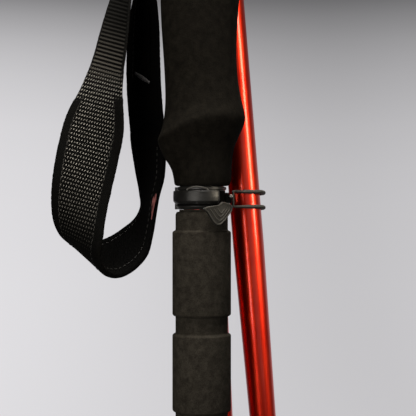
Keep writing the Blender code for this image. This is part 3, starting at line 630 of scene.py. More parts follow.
def make_upper_grip(foam, plastic):
    skin = smooth_rows(GRIP_RINGS, 6)
    top, low = GRIP_RINGS[-1][1], GRIP_RINGS[0][1]
    bore = [oval_row((-GRIP_BORE, z, GRIP_BORE, z, GRIP_BORE)) for z in (top, low)]
    verts, faces = grid(skin + bore, loop=True)
    grip = mesh_piece("grip_foam", verts, faces, sharp=50)
    dress(grip, "grip", foam, "foam", "upper_grip")

    verts, faces = grid(smooth_rows(HEAD_RINGS, 5))
    head = mesh_piece("grip_head", verts, faces)
    pocket = fillet([(-30, 116.6, 0), (-5, 116.6, 2.0), (-5, 128.6, 2.0), (-30, 128.6, 0)], True)
    pocket_rows = [[(p.x, y, p.y) for p in pocket] for y in (-10.9, 10.9)]
    cut(head, mesh_piece("pocket", *grid(pocket_rows)))
    pin_rows = [[(-8.4 + x, y, 120.3 + z) for x, z in disc_section(1.9, 24)] for y in (-13, 13)]
    cut(head, mesh_piece("pin_hole", *grid(pin_rows)))
    socket = turned("socket", [(0, 110), (GRIP_BORE, 110), (GRIP_BORE, 114.4), (0, 114.4)], closed=False)
    cut(head, socket)
    dress(soften(head, 0.5), "grip", plastic, "black_plastic", "head_cap")

    # The wedge is a plain block with a slanted underside
    outline = fillet([
        (-25.6, 123.4, 0.6), (-8.0, 124.6, 0.5), (-7.0, 127.9, 0.5), (-23.6, 127.9, 0.8),
        (-25.6, 126.4, 0.8),
    ], True)
    rows = [[(p.x, y, p.y) for p in outline] for y in (-10.3, 10.3)]
    wedge = soften(mesh_piece("wedge_body", *grid(rows)), 0.35)
    dress(wedge, "wedge", plastic, "black_plastic", "strap_wedge")


# ---------------------------------------------------------------- wrist strap

# The strap's two edges, as (left or rear edge, right or front edge), from the slot down the front leg,
# round the bottom and up the rear leg to the slot
STRAP_ROUTE = [
    ((-11.5, 10.0, 121.9), (-11.5, -10.0, 121.9)),
    ((-23.0, 10.0, 122.2), (-23.0, -10.0, 122.2)),
    ((-33.0, 9.5, 121.0), (-30.0, -10.4, 118.5)),
    ((-41.5, 6.5, 112.5), (-33.5, -12.6, 107.0)),
    ((-46.5, 1.5, 96.7), (-34.9, -15.0, 91.0)),
    ((-50.4, -3.0, 82.1), (-35.9, -16.5, 76.5)),
    ((-54.1, -6.0, 67.8), (-37.7, -17.0, 62.0)),
    ((-59.7, -7.0, 53.8), (-38.5, -17.0, 47.5)),
    ((-66.3, -9.0, 39.9), (-38.2, -16.0, 32.1)),
    ((-69.9, -11.0, 26.0), (-41.0, -15.0, 17.5)),
    ((-72.3, -12.0, 12.2), (-44.2, -15.0, 3.4)),
    ((-73.5, -11.0, -0.5), (-46.7, -15.5, -8.3)),
    ((-73.0, -8.0, -10.4), (-48.3, -16.0, -19.5)),
    ((-70.6, -3.0, -17.3), (-49.9, -14.5, -28.8)),
    ((-66.5, 4.0, -21.5), (-48.0, -9.5, -36.6)),
    ((-61.0, 11.5, -23.6), (-43.0, -3.5, -39.6)),
    ((-55.0, 18.0, -23.6), (-37.5, 0.5, -38.4)),
    ((-48.0, 24.0, -21.2), (-32.2, 3.5, -34.5)),
    ((-40.8, 29.0, -16.6), (-27.6, 6.0, -28.3)),
    ((-34.6, 33.0, -11.2), (-25.6, 8.0, -19.0)),
    ((-31.6, 35.5, -4.6), (-24.3, 9.0, -9.6)),
    ((-32.4, 37.0, 3.0), (-22.7, 10.0, -0.2)),
    ((-34.2, 37.0, 12.0), (-20.0, 12.0, 10.0)),
    ((-35.8, 34.5, 21.6), (-19.2, 13.5, 20.6)),
    ((-37.2, 30.0, 31.6), (-18.9, 14.5, 31.1)),
    ((-38.3, 25.0, 44.4), (-19.9, 13.5, 44.3)),
    ((-39.0, 22.0, 57.4), (-20.8, 12.0, 57.4)),
    ((-38.9, 19.0, 71.6), (-21.2, 9.8, 71.4)),
    ((-38.0, 17.0, 85.8), (-21.5, 6.5, 85.4)),
    ((-35.8, 15.5, 98.6), (-22.6, 1.5, 97.8)),
    ((-32.0, 13.0, 109.6), (-25.0, -5.5, 109.0)),
    ((-27.6, 10.5, 117.0), (-26.0, -9.4, 116.4)),
    ((-22.0, 10.0, 118.7), (-22.0, -10.0, 118.7)),
    ((-11.5, 10.0, 118.8), (-11.5, -10.0, 118.8)),
]
LEFTS = [Vector(pair[0]) for pair in STRAP_ROUTE]
RIGHTS = [Vector(pair[1]) for pair in STRAP_ROUTE]
ROUTE_END = len(STRAP_ROUTE) - 1
PAD_FROM = 7.0  # places along the route, counted in its points
PAD_TO = 24.0
MESH_FROM = 6.0
MESH_TO = 13.2
FOLD_FROM = 26.3  # where the webbing's end is turned back
LABEL_FROM = 19.8
LABEL_TO = 21.2
WEB_HALF = 0.75
PAD_HALF = 1.55
RIB_DEPTH = 0.3
BINDING = 5.2  # the width of the bound edge
RIB_PERIOD = 2.0
MESH_ROW = 2.0
MESH_COLUMN = 1.4


def strap_station(place):
    """(left edge, right edge, the inner face's normal) of the strap at a place on its route."""
    low, high = max(place - 0.05, 0), min(place + 0.05, ROUTE_END)
    left, right = catmull(LEFTS, place), catmull(RIGHTS, place)
    ends = [catmull(LEFTS, p) + catmull(RIGHTS, p) for p in (low, high)]
    normal = (right - left).cross(ends[1] - ends[0]).normalized()
    return left, right, normal


def strap_lengths(steps_per_point=24):
    """The middle line's length from the route's start, at each step."""
    count = ROUTE_END * steps_per_point
    places = [k / steps_per_point for k in range(count + 1)]
    middles = [(catmull(LEFTS, p) + catmull(RIGHTS, p)) / 2 for p in places]
    lengths = [0.0]
    for a, b in zip(middles, middles[1:]):
        lengths.append(lengths[-1] + (b - a).length)
    return np.array(places), np.array(lengths)


STRAP_PLACES, STRAP_LENGTHS = strap_lengths()


def smooth_step(value, low, high):
    t = min(max((value - low) / (high - low), 0.0), 1.0)
    return t * t * (3 - 2 * t)


def strap_point(place, across, lift):
    """A point on the strap: across runs 0 to 1 from the left edge, lift is mm towards the inner face."""
    left, right, normal = strap_station(place)
    return left.lerp(right, across) + normal * lift


def strap_half(place, edge):
    """Half the strap's thickness: round edges, a rolled binding, a thinner mesh between.

    edge is the distance to the nearer edge, in millimetres.
    """
    ended = smooth_step(place, PAD_TO - 0.6, PAD_TO + 0.3)
    pad = smooth_step(place, PAD_FROM - 0.5, PAD_FROM + 0.5) * (1 - ended)
    half = WEB_HALF + (PAD_HALF - WEB_HALF) * pad
    rim = math.sqrt(max(0.0, 1 - (1 - min(edge / half, 1.0)) ** 2))
    binding = 1 - smooth_step(edge, BINDING - 0.9, BINDING + 0.2)
    fade = 1 - smooth_step(place, MESH_TO - 1.0, MESH_TO + 1.5)
    return half * rim * (1 - 0.26 * pad * (1 - binding) * fade)


def edge_roughness(place, length, side):
    """How far the strap's edge stands out of its line: the weft's loops, and the start of the binding."""
    loops = 0.16 * noise.noise(Vector((length * 0.75, side * 9.0, 0.0)))
    loops += 0.10 * noise.noise(Vector((length * 0.21, side * 5.0, 3.0)))
    starts = PAD_FROM + 0.45 * (1 - side)
    bound = smooth_step(place, starts - 0.12, starts + 0.06) * (1 - smooth_step(place, PAD_TO, PAD_TO + 0.3))
    return loops + 0.45 * bound


def make_strap_part(name, start, end, materials, node):
    wide = 40
    spacing = 0.42
    span = np.interp([start, end], STRAP_PLACES, STRAP_LENGTHS)
    count = int((span[1] - span[0]) / spacing)
    lengths = np.linspace(span[0], span[1], count + 1)
    places = np.interp(lengths, STRAP_LENGTHS, STRAP_PLACES)
    shares = [0.5 - 0.5 * math.cos(math.pi * k / (wide - 1)) for k in range(wide)]
    shares = [0.55 * s + 0.45 * k / (wide - 1) for k, s in enumerate(shares)]
    rows, uvs, marks = [], [], []
    for place, length in zip(places, lengths):
        left, right, normal = strap_station(place)
        side = (right - left).normalized()
        left = left - side * edge_roughness(place, length, 0)
        right = right + side * edge_roughness(place, length, 1)
        width = (right - left).length
        rib = smooth_step(place, 2.0, 4.6) * (1 - smooth_step(place, 6.0, 7.2))
        rib = max(rib, smooth_step(place, 27.0, 28.0) * (1 - smooth_step(place, 31.0, 32.0)))
        mesh = smooth_step(place, MESH_FROM, MESH_FROM + 0.9)
        mesh *= 1 - smooth_step(place, MESH_TO - 4.2, MESH_TO)
        ridge = 0.5 - 0.5 * math.cos(2 * math.pi * length / RIB_PERIOD - math.pi / 2)
        # Painted shade: the ribs' colour darkens towards the top of the front leg, where less light falls
        shaded = 0.04 + 0.62 * smooth_step(place, 4.3, 6.8)
        row, uv, mark = [], [], []
        for inner, order in ((False, shares[::-1]), (True, shares)):
            for share in order:
                edge = min(share, 1 - share) * width
                free = smooth_step(edge, 0.6, 1.8)
                sunk = 0.0 if inner else RIB_DEPTH * rib * free * (1 - ridge * (1 - mesh))
                lift = strap_half(place, edge) - sunk
                row.append(left.lerp(right, share) + normal * (lift if inner else -lift))
                uv.append((share * width, length))
                starts = PAD_FROM + 0.45 * (1 - share)
                near_edge = 1 - smooth_step(edge, BINDING - 0.7, BINDING)
                bound = smooth_step(place, starts - 0.2, starts + 0.05) * near_edge
                mark.append((mesh * (1 - bound), rib * free * (1 - bound) * shaded))
        rows.append(row)
        uvs.append(uv)
        marks.append(mark)
    verts, faces = grid(rows)
    obj = mesh_piece(name, verts, faces, sharp=60)
    flat_uv = [p for row in uvs for p in row]
    flat_marks = [m for row in marks for m in row]
    layer = obj.data.uv_layers.new(name="strap_mm")
    for loop in obj.data.loops:
        layer.data[loop.index].uv = flat_uv[loop.vertex_index]
    for index, attribute_name in enumerate(("mesh", "rib")):
        attribute = obj.data.attributes.new(attribute_name, "FLOAT", "POINT")
        attribute.data.foreach_set("value", [m[index] for m in flat_marks])
    dress(obj, "grip", materials[0], "strap", node)
    obj.data.materials.append(materials[1])
    across = 2 * wide
    for face in obj.data.polygons:
        columns = [v % across for v in face.vertices]
        face.material_index = int(len(columns) == 4 and min(columns) >= wide and max(columns) < across)
    return obj


def stitch_row(start, end, across, lift, pitch=3.0, long=2.1, radius=0.17):
    """Stitches along the strap. across is mm from the left edge, or from the right edge if negative."""
    span = np.interp([start, end], STRAP_PLACES, STRAP_LENGTHS)
    made = []
    at = span[0]
    while at + long < span[1]:
        points = []
        for share, dip in ((0.0, 0.5), (0.25, 0.0), (0.75, 0.0), (1.0, 0.5)):
            place = float(np.interp(at + share * long, STRAP_LENGTHS, STRAP_PLACES))
            left, right, _ = strap_station(place)
            width = (right - left).length
            share_across = across / width if across > 0 else 1 + across / width
            sign = 1 if lift > 0 else -1
            points.append(strap_point(place, share_across, lift - sign * dip * 2 * radius))
        made.append(sweep("stitch", points, disc_section(radius, 6)))
        at += pitch
    return made


def make_strap(fabric, lining, hem_highlight_cloth, thread, label):
    cloths = (fabric, lining)
    make_strap_part("strap_front", 0, PAD_FROM, cloths, "strap_front_webbing")
    pad = make_strap_part("strap_wrist_pad", PAD_FROM, PAD_TO, cloths, "strap_pad")
    make_strap_part("strap_rear", PAD_TO, ROUTE_END, cloths, "strap_rear_webbing")

    stitches = []
    for side in (1, -1):
        stitches += stitch_row(PAD_FROM + 0.2, PAD_TO - 0.2, side * (BINDING - 1.0), -(PAD_HALF - 0.03))
        stitches += stitch_row(PAD_FROM + 0.2, PAD_TO - 0.2, side * (BINDING - 1.0), PAD_HALF - 0.03)
    stitches += stitch_row(FOLD_FROM, FOLD_FROM + 4.2, 4.9, WEB_HALF + 0.95)
    dress(join("strap_stitching", stitches), "grip", thread, "strap")

    # The webbing's end is turned back and sewn down on the rear leg's inner face
    rows = []
    steps = 90
    for k in range(steps + 1):
        rounding = math.sqrt(max(0.0, 1 - (1 - min(k / 4.0, 1.0)) ** 2))
        tops, lows = [], []
        for share in (0.27, 0.29, 0.33, 0.42, 0.51, 0.60, 0.69, 0.73, 0.75):
            place = FOLD_FROM + (0.51 - share) * 0.9 + 4.6 * k / steps
            left, right, _ = strap_station(place)
            edge = min(share, 1 - share) * (right - left).length
            low = strap_half(place, edge) - 0.1
            rim = 0.55 if share in (0.27, 0.75) else 1.0
            tops.append(strap_point(place, share, low + (0.25 + 1.05 * rounding) * rim))
            lows.append(strap_point(place, share, low))
        rows.append(tops + lows[::-1])
    fold = mesh_piece("strap_fold", *grid(rows), sharp=60)
    layer = fold.data.uv_layers.new(name="strap_mm")
    for loop in fold.data.loops:
        point = fold.data.vertices[loop.vertex_index].co / MM
        layer.data[loop.index].uv = (point.x, point.z)
    dress(fold, "grip", lining, "strap")
    hem = []
    for share in (0.30, 0.4, 0.5, 0.6, 0.72):
        place = FOLD_FROM + (0.51 - share) * 0.9
        hem.append(strap_point(place, share, WEB_HALF + 0.8))

    def hem_section(share):
        return disc_section(0.5 + 0.75 * math.sin(math.pi * (0.08 + 0.84 * share)), 12)

    # The fold's rounded end is drawn in a pale grey knit: a painted highlight along it
    dress(sweep("strap_fold_end", hem, hem_section), "grip", hem_highlight_cloth, "strap")

    # The label peeps out on the inner face, along the right-hand edge: wide at its top, then tapering
    rows = []
    steps = 24
    for k in range(steps + 1):
        share = k / steps
        place = LABEL_FROM + (LABEL_TO - LABEL_FROM) * share
        left, right, _ = strap_station(place)
        wide = 0.3 + 1.9 * min((1 - share) / 0.22, share / 0.78, 1.0)
        tops, lows = [], []
        for edge in (-0.9, -0.5, -0.1, 0.3, 0.7):
            edge *= wide
            lift = strap_half(place, max(edge, 0.4))
            tops.append(strap_point(place, 1 - edge / (right - left).length, lift + 0.22))
            lows.append(strap_point(place, 1 - edge / (right - left).length, lift - 0.15))
        rows.append(tops + lows[::-1])
    tab = soften(mesh_piece("strap_tab", *grid(rows)), 0.08)
    dress(tab, "grip", label, "strap_label", "strap_label")


# ---------------------------------------------------------------- handle section

HANDLE_R = 9.0
HANDLE_BORE = 8.1
HANDLE_BOTTOM = -207.0
LOWER_GRIP_R = 14.65
GROOVE_R = 13.1


def make_handle(foam, red, bare):
    bore = HANDLE_BORE
    tube = turned("handle_section", [
        (HANDLE_R, 3.0), (HANDLE_R, HANDLE_BOTTOM), (bore, HANDLE_BOTTOM), (bore, 3.0),
    ])
    dress(tube, "handle", red, "red_tube", "handle_tube")
    ring_r = HANDLE_R + 1.2
    low = HANDLE_BOTTOM - 1
    ring = turned("handle_ferrule", [
        (ring_r, low + 9, 0.5), (ring_r, low + 6.4, 0.2), (ring_r - 0.35, low + 6.1, 0.2),
        (ring_r - 0.35, low + 5.2, 0.2), (ring_r, low + 4.9, 0.2), (ring_r, low, 0.6),
        (bore, low, 0.3), (bore, low + 0.7), (HANDLE_R + 0.1, low + 0.7), (HANDLE_R + 0.1, low + 9),
    ])
    dress(ring, "handle", bare, "bare_metal", "handle_end_ring")

    r, groove, inside = LOWER_GRIP_R, GROOVE_R, HANDLE_R + 0.2
    outline = [(11.2, -6.3), (11.2, -7.3, 0.3), (groove - 0.6, -7.5, 0.4), (groove, -8.8, 0.8)]
    for top, bottom in ((-16.6, -59.6), (-67.9, -107.3), (-115.6, -146.0)):
        outline += [(groove, top, 0.9), (r, top - 0.7, 2.4), (r, bottom + 0.7, 2.4)]
        outline += [(groove, bottom, 0.7)] if bottom > -146 else [(groove - 0.6, bottom, 0.4)]
    outline += [(inside, -146.0), (inside, -6.3)]
    grip = turned("lower_grip_foam", outline)
    dress(grip, "handle", foam, "foam", "lower_grip")


def bar(points, low_z, high_z):
    """Rows for a block of a plan outline between two heights."""
    return [[(x, y, z) for x, y in points] for z in (low_z, high_z)]


def arc_plan(low_r, high_r, start, end, steps=40, ends=0.8):
    """A band's plan between two radii and two angles in degrees, with rounded corners."""
    outer, inner = [], []
    for k in range(steps + 1):
        angle = math.radians(start + (end - start) * k / steps)
        outer.append((high_r * math.cos(angle), high_r * math.sin(angle)))
        inner.append((low_r * math.cos(angle), low_r * math.sin(angle)))
    corners = [(*p, 0) for p in outer] + [(*p, 0) for p in reversed(inner)]
    for i in (0, steps, steps + 1, 2 * steps + 1):
        corners[i] = (*corners[i][:2], ends)
    return [tuple(p) for p in fillet(corners, True)]


LEVER_PIN = (-11.0, 9.9)
LEVER_IN = 12.4
LEVER_OUT = 14.3
LEVER_LOW = -3.4
LEVER_HIGH = 3.0
LUG_Y = 14.7
LUG_Z = -0.4


def upright_rod(name, x, y, radius, low, high, steps=40):
    section = [(x + s, y + t) for s, t in disc_section(radius, steps)]
    return mesh_piece(name, *grid(bar(section, low, high)))


def make_collar(plastic, lever_plastic, rib_plastic_painted_highlight, painted_shade):
    collar = turned("collar_body", [
        (11.7, 5.1, 0.4), (12.3, 4.8, 0.35), (12.3, 3.6, 0.3), (11.5, 3.4, 0.2), (11.5, -4.2, 0.2),
        (12.7, -4.5, 0.25), (12.6, -4.9, 0.2), (11.9, -6.1, 0.3), (11.6, -6.2), (9.3, -6.2),
        (9.3, 3.3), (8.3, 3.3), (8.3, 5.45), (11.0, 5.45, 0.2), (11.0, 5.1),
    ])
    plan = arc_plan(10.4, 11.8, -78, -4, ends=0.6)
    housing = mesh_piece("housing", *grid(bar(plan, LEVER_HIGH + 0.05, 5.0)))
    cut(collar, housing, "UNION")
    for low, high in ((LEVER_HIGH + 0.05, 5.0), (-6.2, LEVER_LOW - 0.05)):
        cut(collar, upright_rod("ear", *LEVER_PIN, 2.7, low, high), "UNION")
    lugs = [(-3.6, 10.6), (6.0, 10.6), (6.0, 17.4), (-3.6, 17.4)]
    cut(collar, mesh_piece("lugs", *grid(bar(lugs, -4.6, 3.9))), "UNION")
    anchor = [(-8.2, 7.4), (-6.6, 7.4), (-6.6, 15.3), (-8.2, 15.3)]
    cut(collar, mesh_piece("anchor", *grid(bar(anchor, -3.3, 1.2))), "UNION")
    split = [(-1, 6), (1, 6), (1, 20), (-1, 20)]
    cut(collar, mesh_piece("split", *grid(bar(split, -9, 8))))
    cut(collar, upright_rod("pin_hole", *LEVER_PIN, 1.35, -9, 8))
    across = [(LUG_Y + s, LUG_Z + t) for s, t in disc_section(1.8, 32)]
    cut(collar, mesh_piece("screw_hole", *grid([[(x, y, z) for y, z in across] for x in (-9, 9)])))
    dress(soften(collar, 0.22), "handle", plastic, "clamp_plastic", "clamp_collar")

    # Painted shade: two near-black bands, one behind the lever's free end and one in the gap between the flange
    # and the lever
    plan = arc_plan(11.3, 11.8, -60, -4, ends=0.2)
    shade_band = mesh_piece("collar_painted_shade", *grid(bar(plan, -4.4, LEVER_HIGH)))
    dress(shade_band, "handle", painted_shade, "clamp_plastic")
    plan = arc_plan(11.3, 12.3, -176, -62, ends=0.2)
    gap_shade = mesh_piece("collar_gap_painted_shade", *grid(bar(plan, -4.45, LEVER_LOW - 0.05)))
    dress(gap_shade, "handle", painted_shade, "clamp_plastic")

    # A raised rib arches over the front, above the lever's middle; it is painted pale as a highlight along its
    # crest
    arch = []
    for k in range(33):
        share = k / 32
        x = -7.2 + 10.4 * share
        z = 3.3 + 1.75 * math.sin(math.pi * share) ** 0.6
        arch.append((x, -math.sqrt(12.75 ** 2 - x * x), z))
    rib = sweep("collar_rib", arch, disc_section(0.42, 12))
    dress(rib, "handle", rib_plastic_painted_highlight, "clamp_plastic")

    # The lever: a crowned band with a rounded free end
    rows = []
    steps = 120
    start, end = 143.0, 310.5
    for k in range(steps + 1):
        angle = math.radians(start + (end - start) * k / steps)
        left_over = (end - start) * (1 - k / steps) * math.radians(1) * LEVER_OUT
        nose = min(left_over / 1.6, 1.0)
        trim = 1 - math.sqrt(max(0.0, 1 - (1 - nose) ** 2))
        low, high = LEVER_LOW + 1.1 * trim, LEVER_HIGH - 1.1 * trim
        out = LEVER_OUT - 0.5 * trim
        section = fillet(
            [(LEVER_IN, low, 0.2), (out - 1.0, low, 0.4), (out - 0.1, low + 1.3, 1.0),
             (out, (low + high) / 2, 3.0), (out - 0.1, high, 0.45), (LEVER_IN, high, 0.25)], True, steps=4,
        )
        rows.append([(p.x * math.cos(angle), p.x * math.sin(angle), p.y) for p in section])
    lever = mesh_piece("lever_band", *grid(rows))
    cut(lever, upright_rod("knuckle", *LEVER_PIN, 2.45, LEVER_LOW, LEVER_HIGH), "UNION")
    cut(lever, upright_rod("knuckle_bore", *LEVER_PIN, 1.4, -9, 9))
    dress(lever, "lever", lever_plastic, "clamp_plastic", "clamp_lever")


# ---------------------------------------------------------------- elastic keeper

# (x, height) of the pull tab's outline, seen from in front
TAB_OUTLINE = [
    (0.4, -5.8), (2.6, -4.9), (8.3, -4.0), (10.3, -2.3), (13.9, -3.3), (15.3, -4.6), (15.1, -6.6),
    (11.3, -11.8), (9.0, -14.0), (7.2, -14.0), (5.4, -12.3), (2.4, -7.3),
]
TAB_BRACKET = [
    (1.9, -6.2), (5.9, -12.1), (7.6, -13.6), (8.8, -13.6), (11.0, -11.6), (14.9, -6.4), (14.9, -4.6),
]
TAB_TURN = math.radians(36.87)
TAB_AWAY = 15.3
KEEPER_PLAN = [
    (16.2, 9.5), (20.0, 13.5), (25.4, 17.0), (30.5, 21.2), (32.3, 26.8), (31.0, 31.6), (27.0, 35.6),
    (16.0, 39.2), (4.0, 40.6), (-4.2, 37.8), (-7.8, 30.8), (-7.8, 22.5), (-7.6, 18.2),
]


def make_keeper(rubber, tab_rubber, plastic, rivet_metal):
    upper = [np.array((x, y, 2.9)) for x, y in KEEPER_PLAN]
    lower = [np.array((x, y, -4.8)) for x, y in reversed(KEEPER_PLAN)]
    near = [np.array((-7.4, 16.7, 1.0)), np.array((-7.4, 16.7, -3.1))]
    bar_end = [np.array((15.9, 9.0, -3.6)), np.array((15.9, 9.0, 1.5))]
    points = upper + near + lower + bar_end
    count = len(points)
    wrapped = [points[-1]] + points + points[:2]
    fine = 10
    route = [catmull(wrapped, 1 + k / fine) for k in range(count * fine)]
    route = [at - np.array((0, 0, 0.9 * smooth_step(at[1], 19.0, 34.0))) for at in route]

    def section(share):
        at = route[min(int(share * len(route)), len(route) - 1)]
        return disc_section(0.68 + 0.34 * smooth_step(at[0], 16.0, 26.0), 14)

    loop = sweep("keeper_band", route, section, loop=True)
    dress(loop, "handle", rubber, "keeper_rubber", "keeper_loop")
    # The mount is black plastic, drawn in the near-black painted-shade material as the shade between it and the
    # tab
    lug_plan = [(11.6, -3.0), (14.9, -3.0), (14.9, 8.4), (11.6, 8.4)]
    lug = mesh_piece("keeper_mount", *grid(bar(lug_plan, -3.1, 1.3)))
    dress(soften(lug, 0.4), "handle", plastic, "black_plastic", "keeper_lug")
    low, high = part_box("keeper_rivet")
    front = Matrix.Translation(((low.x + high.x) / 2 + 0.6 * MM, low.y, (low.z + high.z) / 2))
    front = front @ Matrix.Rotation(math.pi / 2, 4, "X") @ Matrix.Scale(MM, 4)
    head = turned("rivet_head", [(0, 0.75), (0.7, 0.6, 0.4), (1.0, 0), (0, 0)], front, closed=False)
    dress(head, "handle", rivet_metal, "steel")

    across = Vector((math.cos(TAB_TURN), math.sin(TAB_TURN), 0))
    out = Vector((math.sin(TAB_TURN), -math.cos(TAB_TURN), 0))
    start = out * TAB_AWAY
    start -= across * (start.x / across.x)
    plane = Matrix((across, UP, out)).transposed().to_4x4()
    plane.translation = start
    tab_axes = COLLAR @ plane
    thick = 1.1
    corners = [(x / across.x, z, 0.7) for x, z in TAB_OUTLINE]
    outline = [tuple(p) for p in fillet(corners, True, steps=4)]
    back = tab_axes @ Matrix.Translation((0, 0, -thick / 2 - 0.2))
    plate = slab("tab_plate", outline, thick, back, rounding=0.35)

    # Moulded ridges: a rim inside the outline, and brackets nested in it
    centre = sum((Vector(p) for p in outline), Vector((0, 0))) / len(outline)
    ridges = []
    front = thick / 2 - 0.2

    def ridge(points, radius, closed=False):
        path = [(*p, front) for p in points]
        ridges.append(sweep("ridge", path, disc_section(radius, 8), closed, tab_axes))

    ridge([Vector(p) + (centre - Vector(p)) * 0.09 for p in outline], 0.38, True)
    hub = Vector((9.7, -5.8))
    for share in (0.74, 0.5, 0.26):
        bracket = [(*(hub + share * (Vector(p) - hub)), 0.8) for p in TAB_BRACKET]
        ridge([(p[0] / across.x, p[1]) for p in fillet(bracket, False)], 0.4)
    flat_count = len(plate.data.vertices)
    tab = join("keeper_pull_tab", [plate] + ridges)
    raised = tab.data.attributes.new("raised", "FLOAT", "POINT")
    raised.data.foreach_set("value", [float(i >= flat_count) for i in range(len(tab.data.vertices))])
    dress(tab, "handle", tab_rubber, "keeper_rubber", "keeper_tab")


# ---------------------------------------------------------------- folding sections

def make_sections(red, bare):
    tube_r, bore, end = 8.5, 7.6, MID_LENGTH - 1
    mid = turned("middle_section", [
        (tube_r, end), (tube_r, SPIGOT_OUT), (bore, SPIGOT_OUT), (bore, end),
    ], MID)
    dress(mid, "mid", red, "red_tube", "mid_tube")
    ring_r, top = 9.6, MID_LENGTH
    ring = turned("middle_ferrule", [
        (7.6, top, 0.3), (ring_r, top, 0.6), (ring_r, top - 4.9, 0.2), (ring_r - 0.35, top - 5.2, 0.2),
        (ring_r - 0.35, top - 6.1, 0.2), (ring_r, top - 6.4, 0.2), (ring_r, top - 9, 0.5), (8.6, top - 9),
        (8.6, top - 0.7), (7.6, top - 0.7),
    ], MID)
    dress(ring, "mid", bare, "bare_metal", "mid_end_ring")
    taper_from, end = 168.0, 350.0
    tip = turned("tip_section", [
        (5.7, end, 0.3), (8.1, taper_from), (8.1, SPIGOT_OUT, 0.2), (7.2, SPIGOT_OUT),
        (7.2, taper_from), (4.8, end),
    ], TIP)
    dress(tip, "tip", red, "red_tube", "tip_tube")


def make_tip_fittings(plastic, steel):
    holder = turned("tip_socket", [
        (0, 414), (3.0, 414, 0.6), (4.0, 411, 1.0), (4.4, 372, 0.5), (4.6, 371, 0.3), (4.6, 361, 0.5),
        (6.9, 358, 0.8), (6.9, 354.4, 0.3), (6.5, 354.0, 0.3), (6.5, 353.2, 0.3), (6.9, 352.8, 0.3),
        (6.9, 350.4, 0.5), (4.6, 350.4), (4.6, 328), (0, 328),
    ], TIP, closed=False)
    dress(holder, "tip", plastic, "black_plastic", "tip_holder")
    point = turned("ground_tip", [
        (0, 419.2), (1.2, 419.4, 0.3), (2.1, TIP_LENGTH, 0.3), (2.6, 418.8, 0.4), (2.6, 414.3), (0, 414.3),
    ], TIP, closed=False)
    dress(point, "tip", steel, "steel", "carbide_tip")
    z = BASKET_AT
    basket = turned("basket_dish", [
        (6.6, z + 3.6, 0.4), (7.4, z + 1.2, 1.2), (16.7, z - 0.7, 0.5), (17.8, z - 1.3, 0.5),
        (17.8, z - 2.3, 0.5), (16.6, z - 2.8, 0.5), (7.0, z - 2.6, 0.5), (4.8, z - 2.6, 0.3), (4.8, z + 3.6, 0.3),
    ], TIP)
    holes = 6
    for k in range(holes):
        turn = 2 * math.pi * (k + 0.5) / holes
        section = [(12.2 * math.cos(turn) + s, 12.2 * math.sin(turn) + t) for s, t in disc_section(2.9, 32)]
        cut(basket, mesh_piece("hole", *grid(bar(section, z - 6, z + 6)), TIP))
    dress(soften(basket, 0.3), "basket", plastic, "black_plastic", "basket")


def bend(start, start_way, end, end_way, count=48):
    """Points on a U-bend that leaves start along start_way and comes back to end against end_way."""
    reach = 2 / 3 * (end - start).length
    a, b, c, d = start, start + reach * start_way, end + reach * end_way, end
    steps = [k / count for k in range(count + 1)]
    return [(1 - t) ** 3 * a + 3 * t * (1 - t) ** 2 * b + 3 * t * t * (1 - t) * c + t ** 3 * d for t in steps]


def make_cords(cord):
    """The two U-bends of tension cord, which on the real pole straighten as it unfolds; here they keep one shape.
    """
    into = COLLAR.inverted()
    foot = into @ (MID @ Vector((0, 0, -0.3)))
    top = into @ (MID @ Vector((0, 0, MID_LENGTH)))
    head = into @ (TIP @ Vector((0, 0, -0.3)))
    low = Vector((0, 0, HANDLE_BOTTOM - 1))
    for name, node, bodies, start, way, end, back in (
        ("upper_fold_cord", "upper_cord_bend", ("handle", "upper_link"), low, -UP, foot, -MID_UP),
        ("lower_fold_cord", "lower_cord_bend", ("mid", "lower_link"), top, MID_UP, head, -TIP_DOWN),
    ):
        route = bend(start, way, end, back)
        obj = sweep(name, route, disc_section(1.5, 16))
        dress(obj, None, cord, "cord", node)
        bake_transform(obj)


# ---------------------------------------------------------------- small and inner parts


def press_spring(spring):
    """The leaf spring, which gives way under the lock button down to its foot, only gets a mesh of its own here.
    """
    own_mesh(spring)


def restore_rest(materials, left_sharp):
    """Every CAD node that nothing stands for yet gets a clean, rounded copy of its own solid."""
    slots = {s["node"]: s["material_slot"] for s in frame["record"]["subparts"]}
    for name, node in sorted(frame["nodes"].items()):
        if node.hide_render:
            continue
        bm = bmesh.new()
        bm.from_mesh(node.data)
        bmesh.ops.remove_doubles(bm, verts=bm.verts, dist=0.001 * MM)
        bmesh.ops.dissolve_limit(bm, angle_limit=math.radians(0.5), verts=bm.verts, edges=bm.edges)
        data = bpy.data.meshes.new(name + "_part")
        bm.to_mesh(data)
        bm.free()
        data.shade_smooth()
        data.set_sharp_from_angle(angle=math.radians(38))
        obj = bpy.data.objects.new(name + "_part", data)
        bpy.context.scene.collection.objects.link(obj)
        slot = slots[name]
        body = node["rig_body"]
        if name not in left_sharp:
            soften(obj, 0.15, segments=2, angle=40)
        dress(obj, body, materials[slot], slot, name)
        if name == "lock_button_spring":
            press_spring(obj)


# ---------------------------------------------------------------- backdrop and lights

STAGE_GROWTH = 5.0  # about the camera, so that the unfolded pole fits in and the main view's backdrop stays
FLOOR_Z = -0.352
STAGE_R = 1.75
GLOW_LOW = -0.36
GLOW_HIGH = 0.64
# (height, brightness) of the paper's glow behind the object
BACKDROP_GLOW = [
    (-0.35, 0.615), (-0.21, 0.61), (-0.07, 0.59), (0.0, 0.57), (0.08, 0.53), (0.14, 0.475), (0.18, 0.435),
    (0.22, 0.385), (0.25, 0.34), (0.30, 0.245), (0.333, 0.17), (0.45, 0.10),
]
FRONT_GLOW = 0.12  # of the glow behind, on the viewer's side


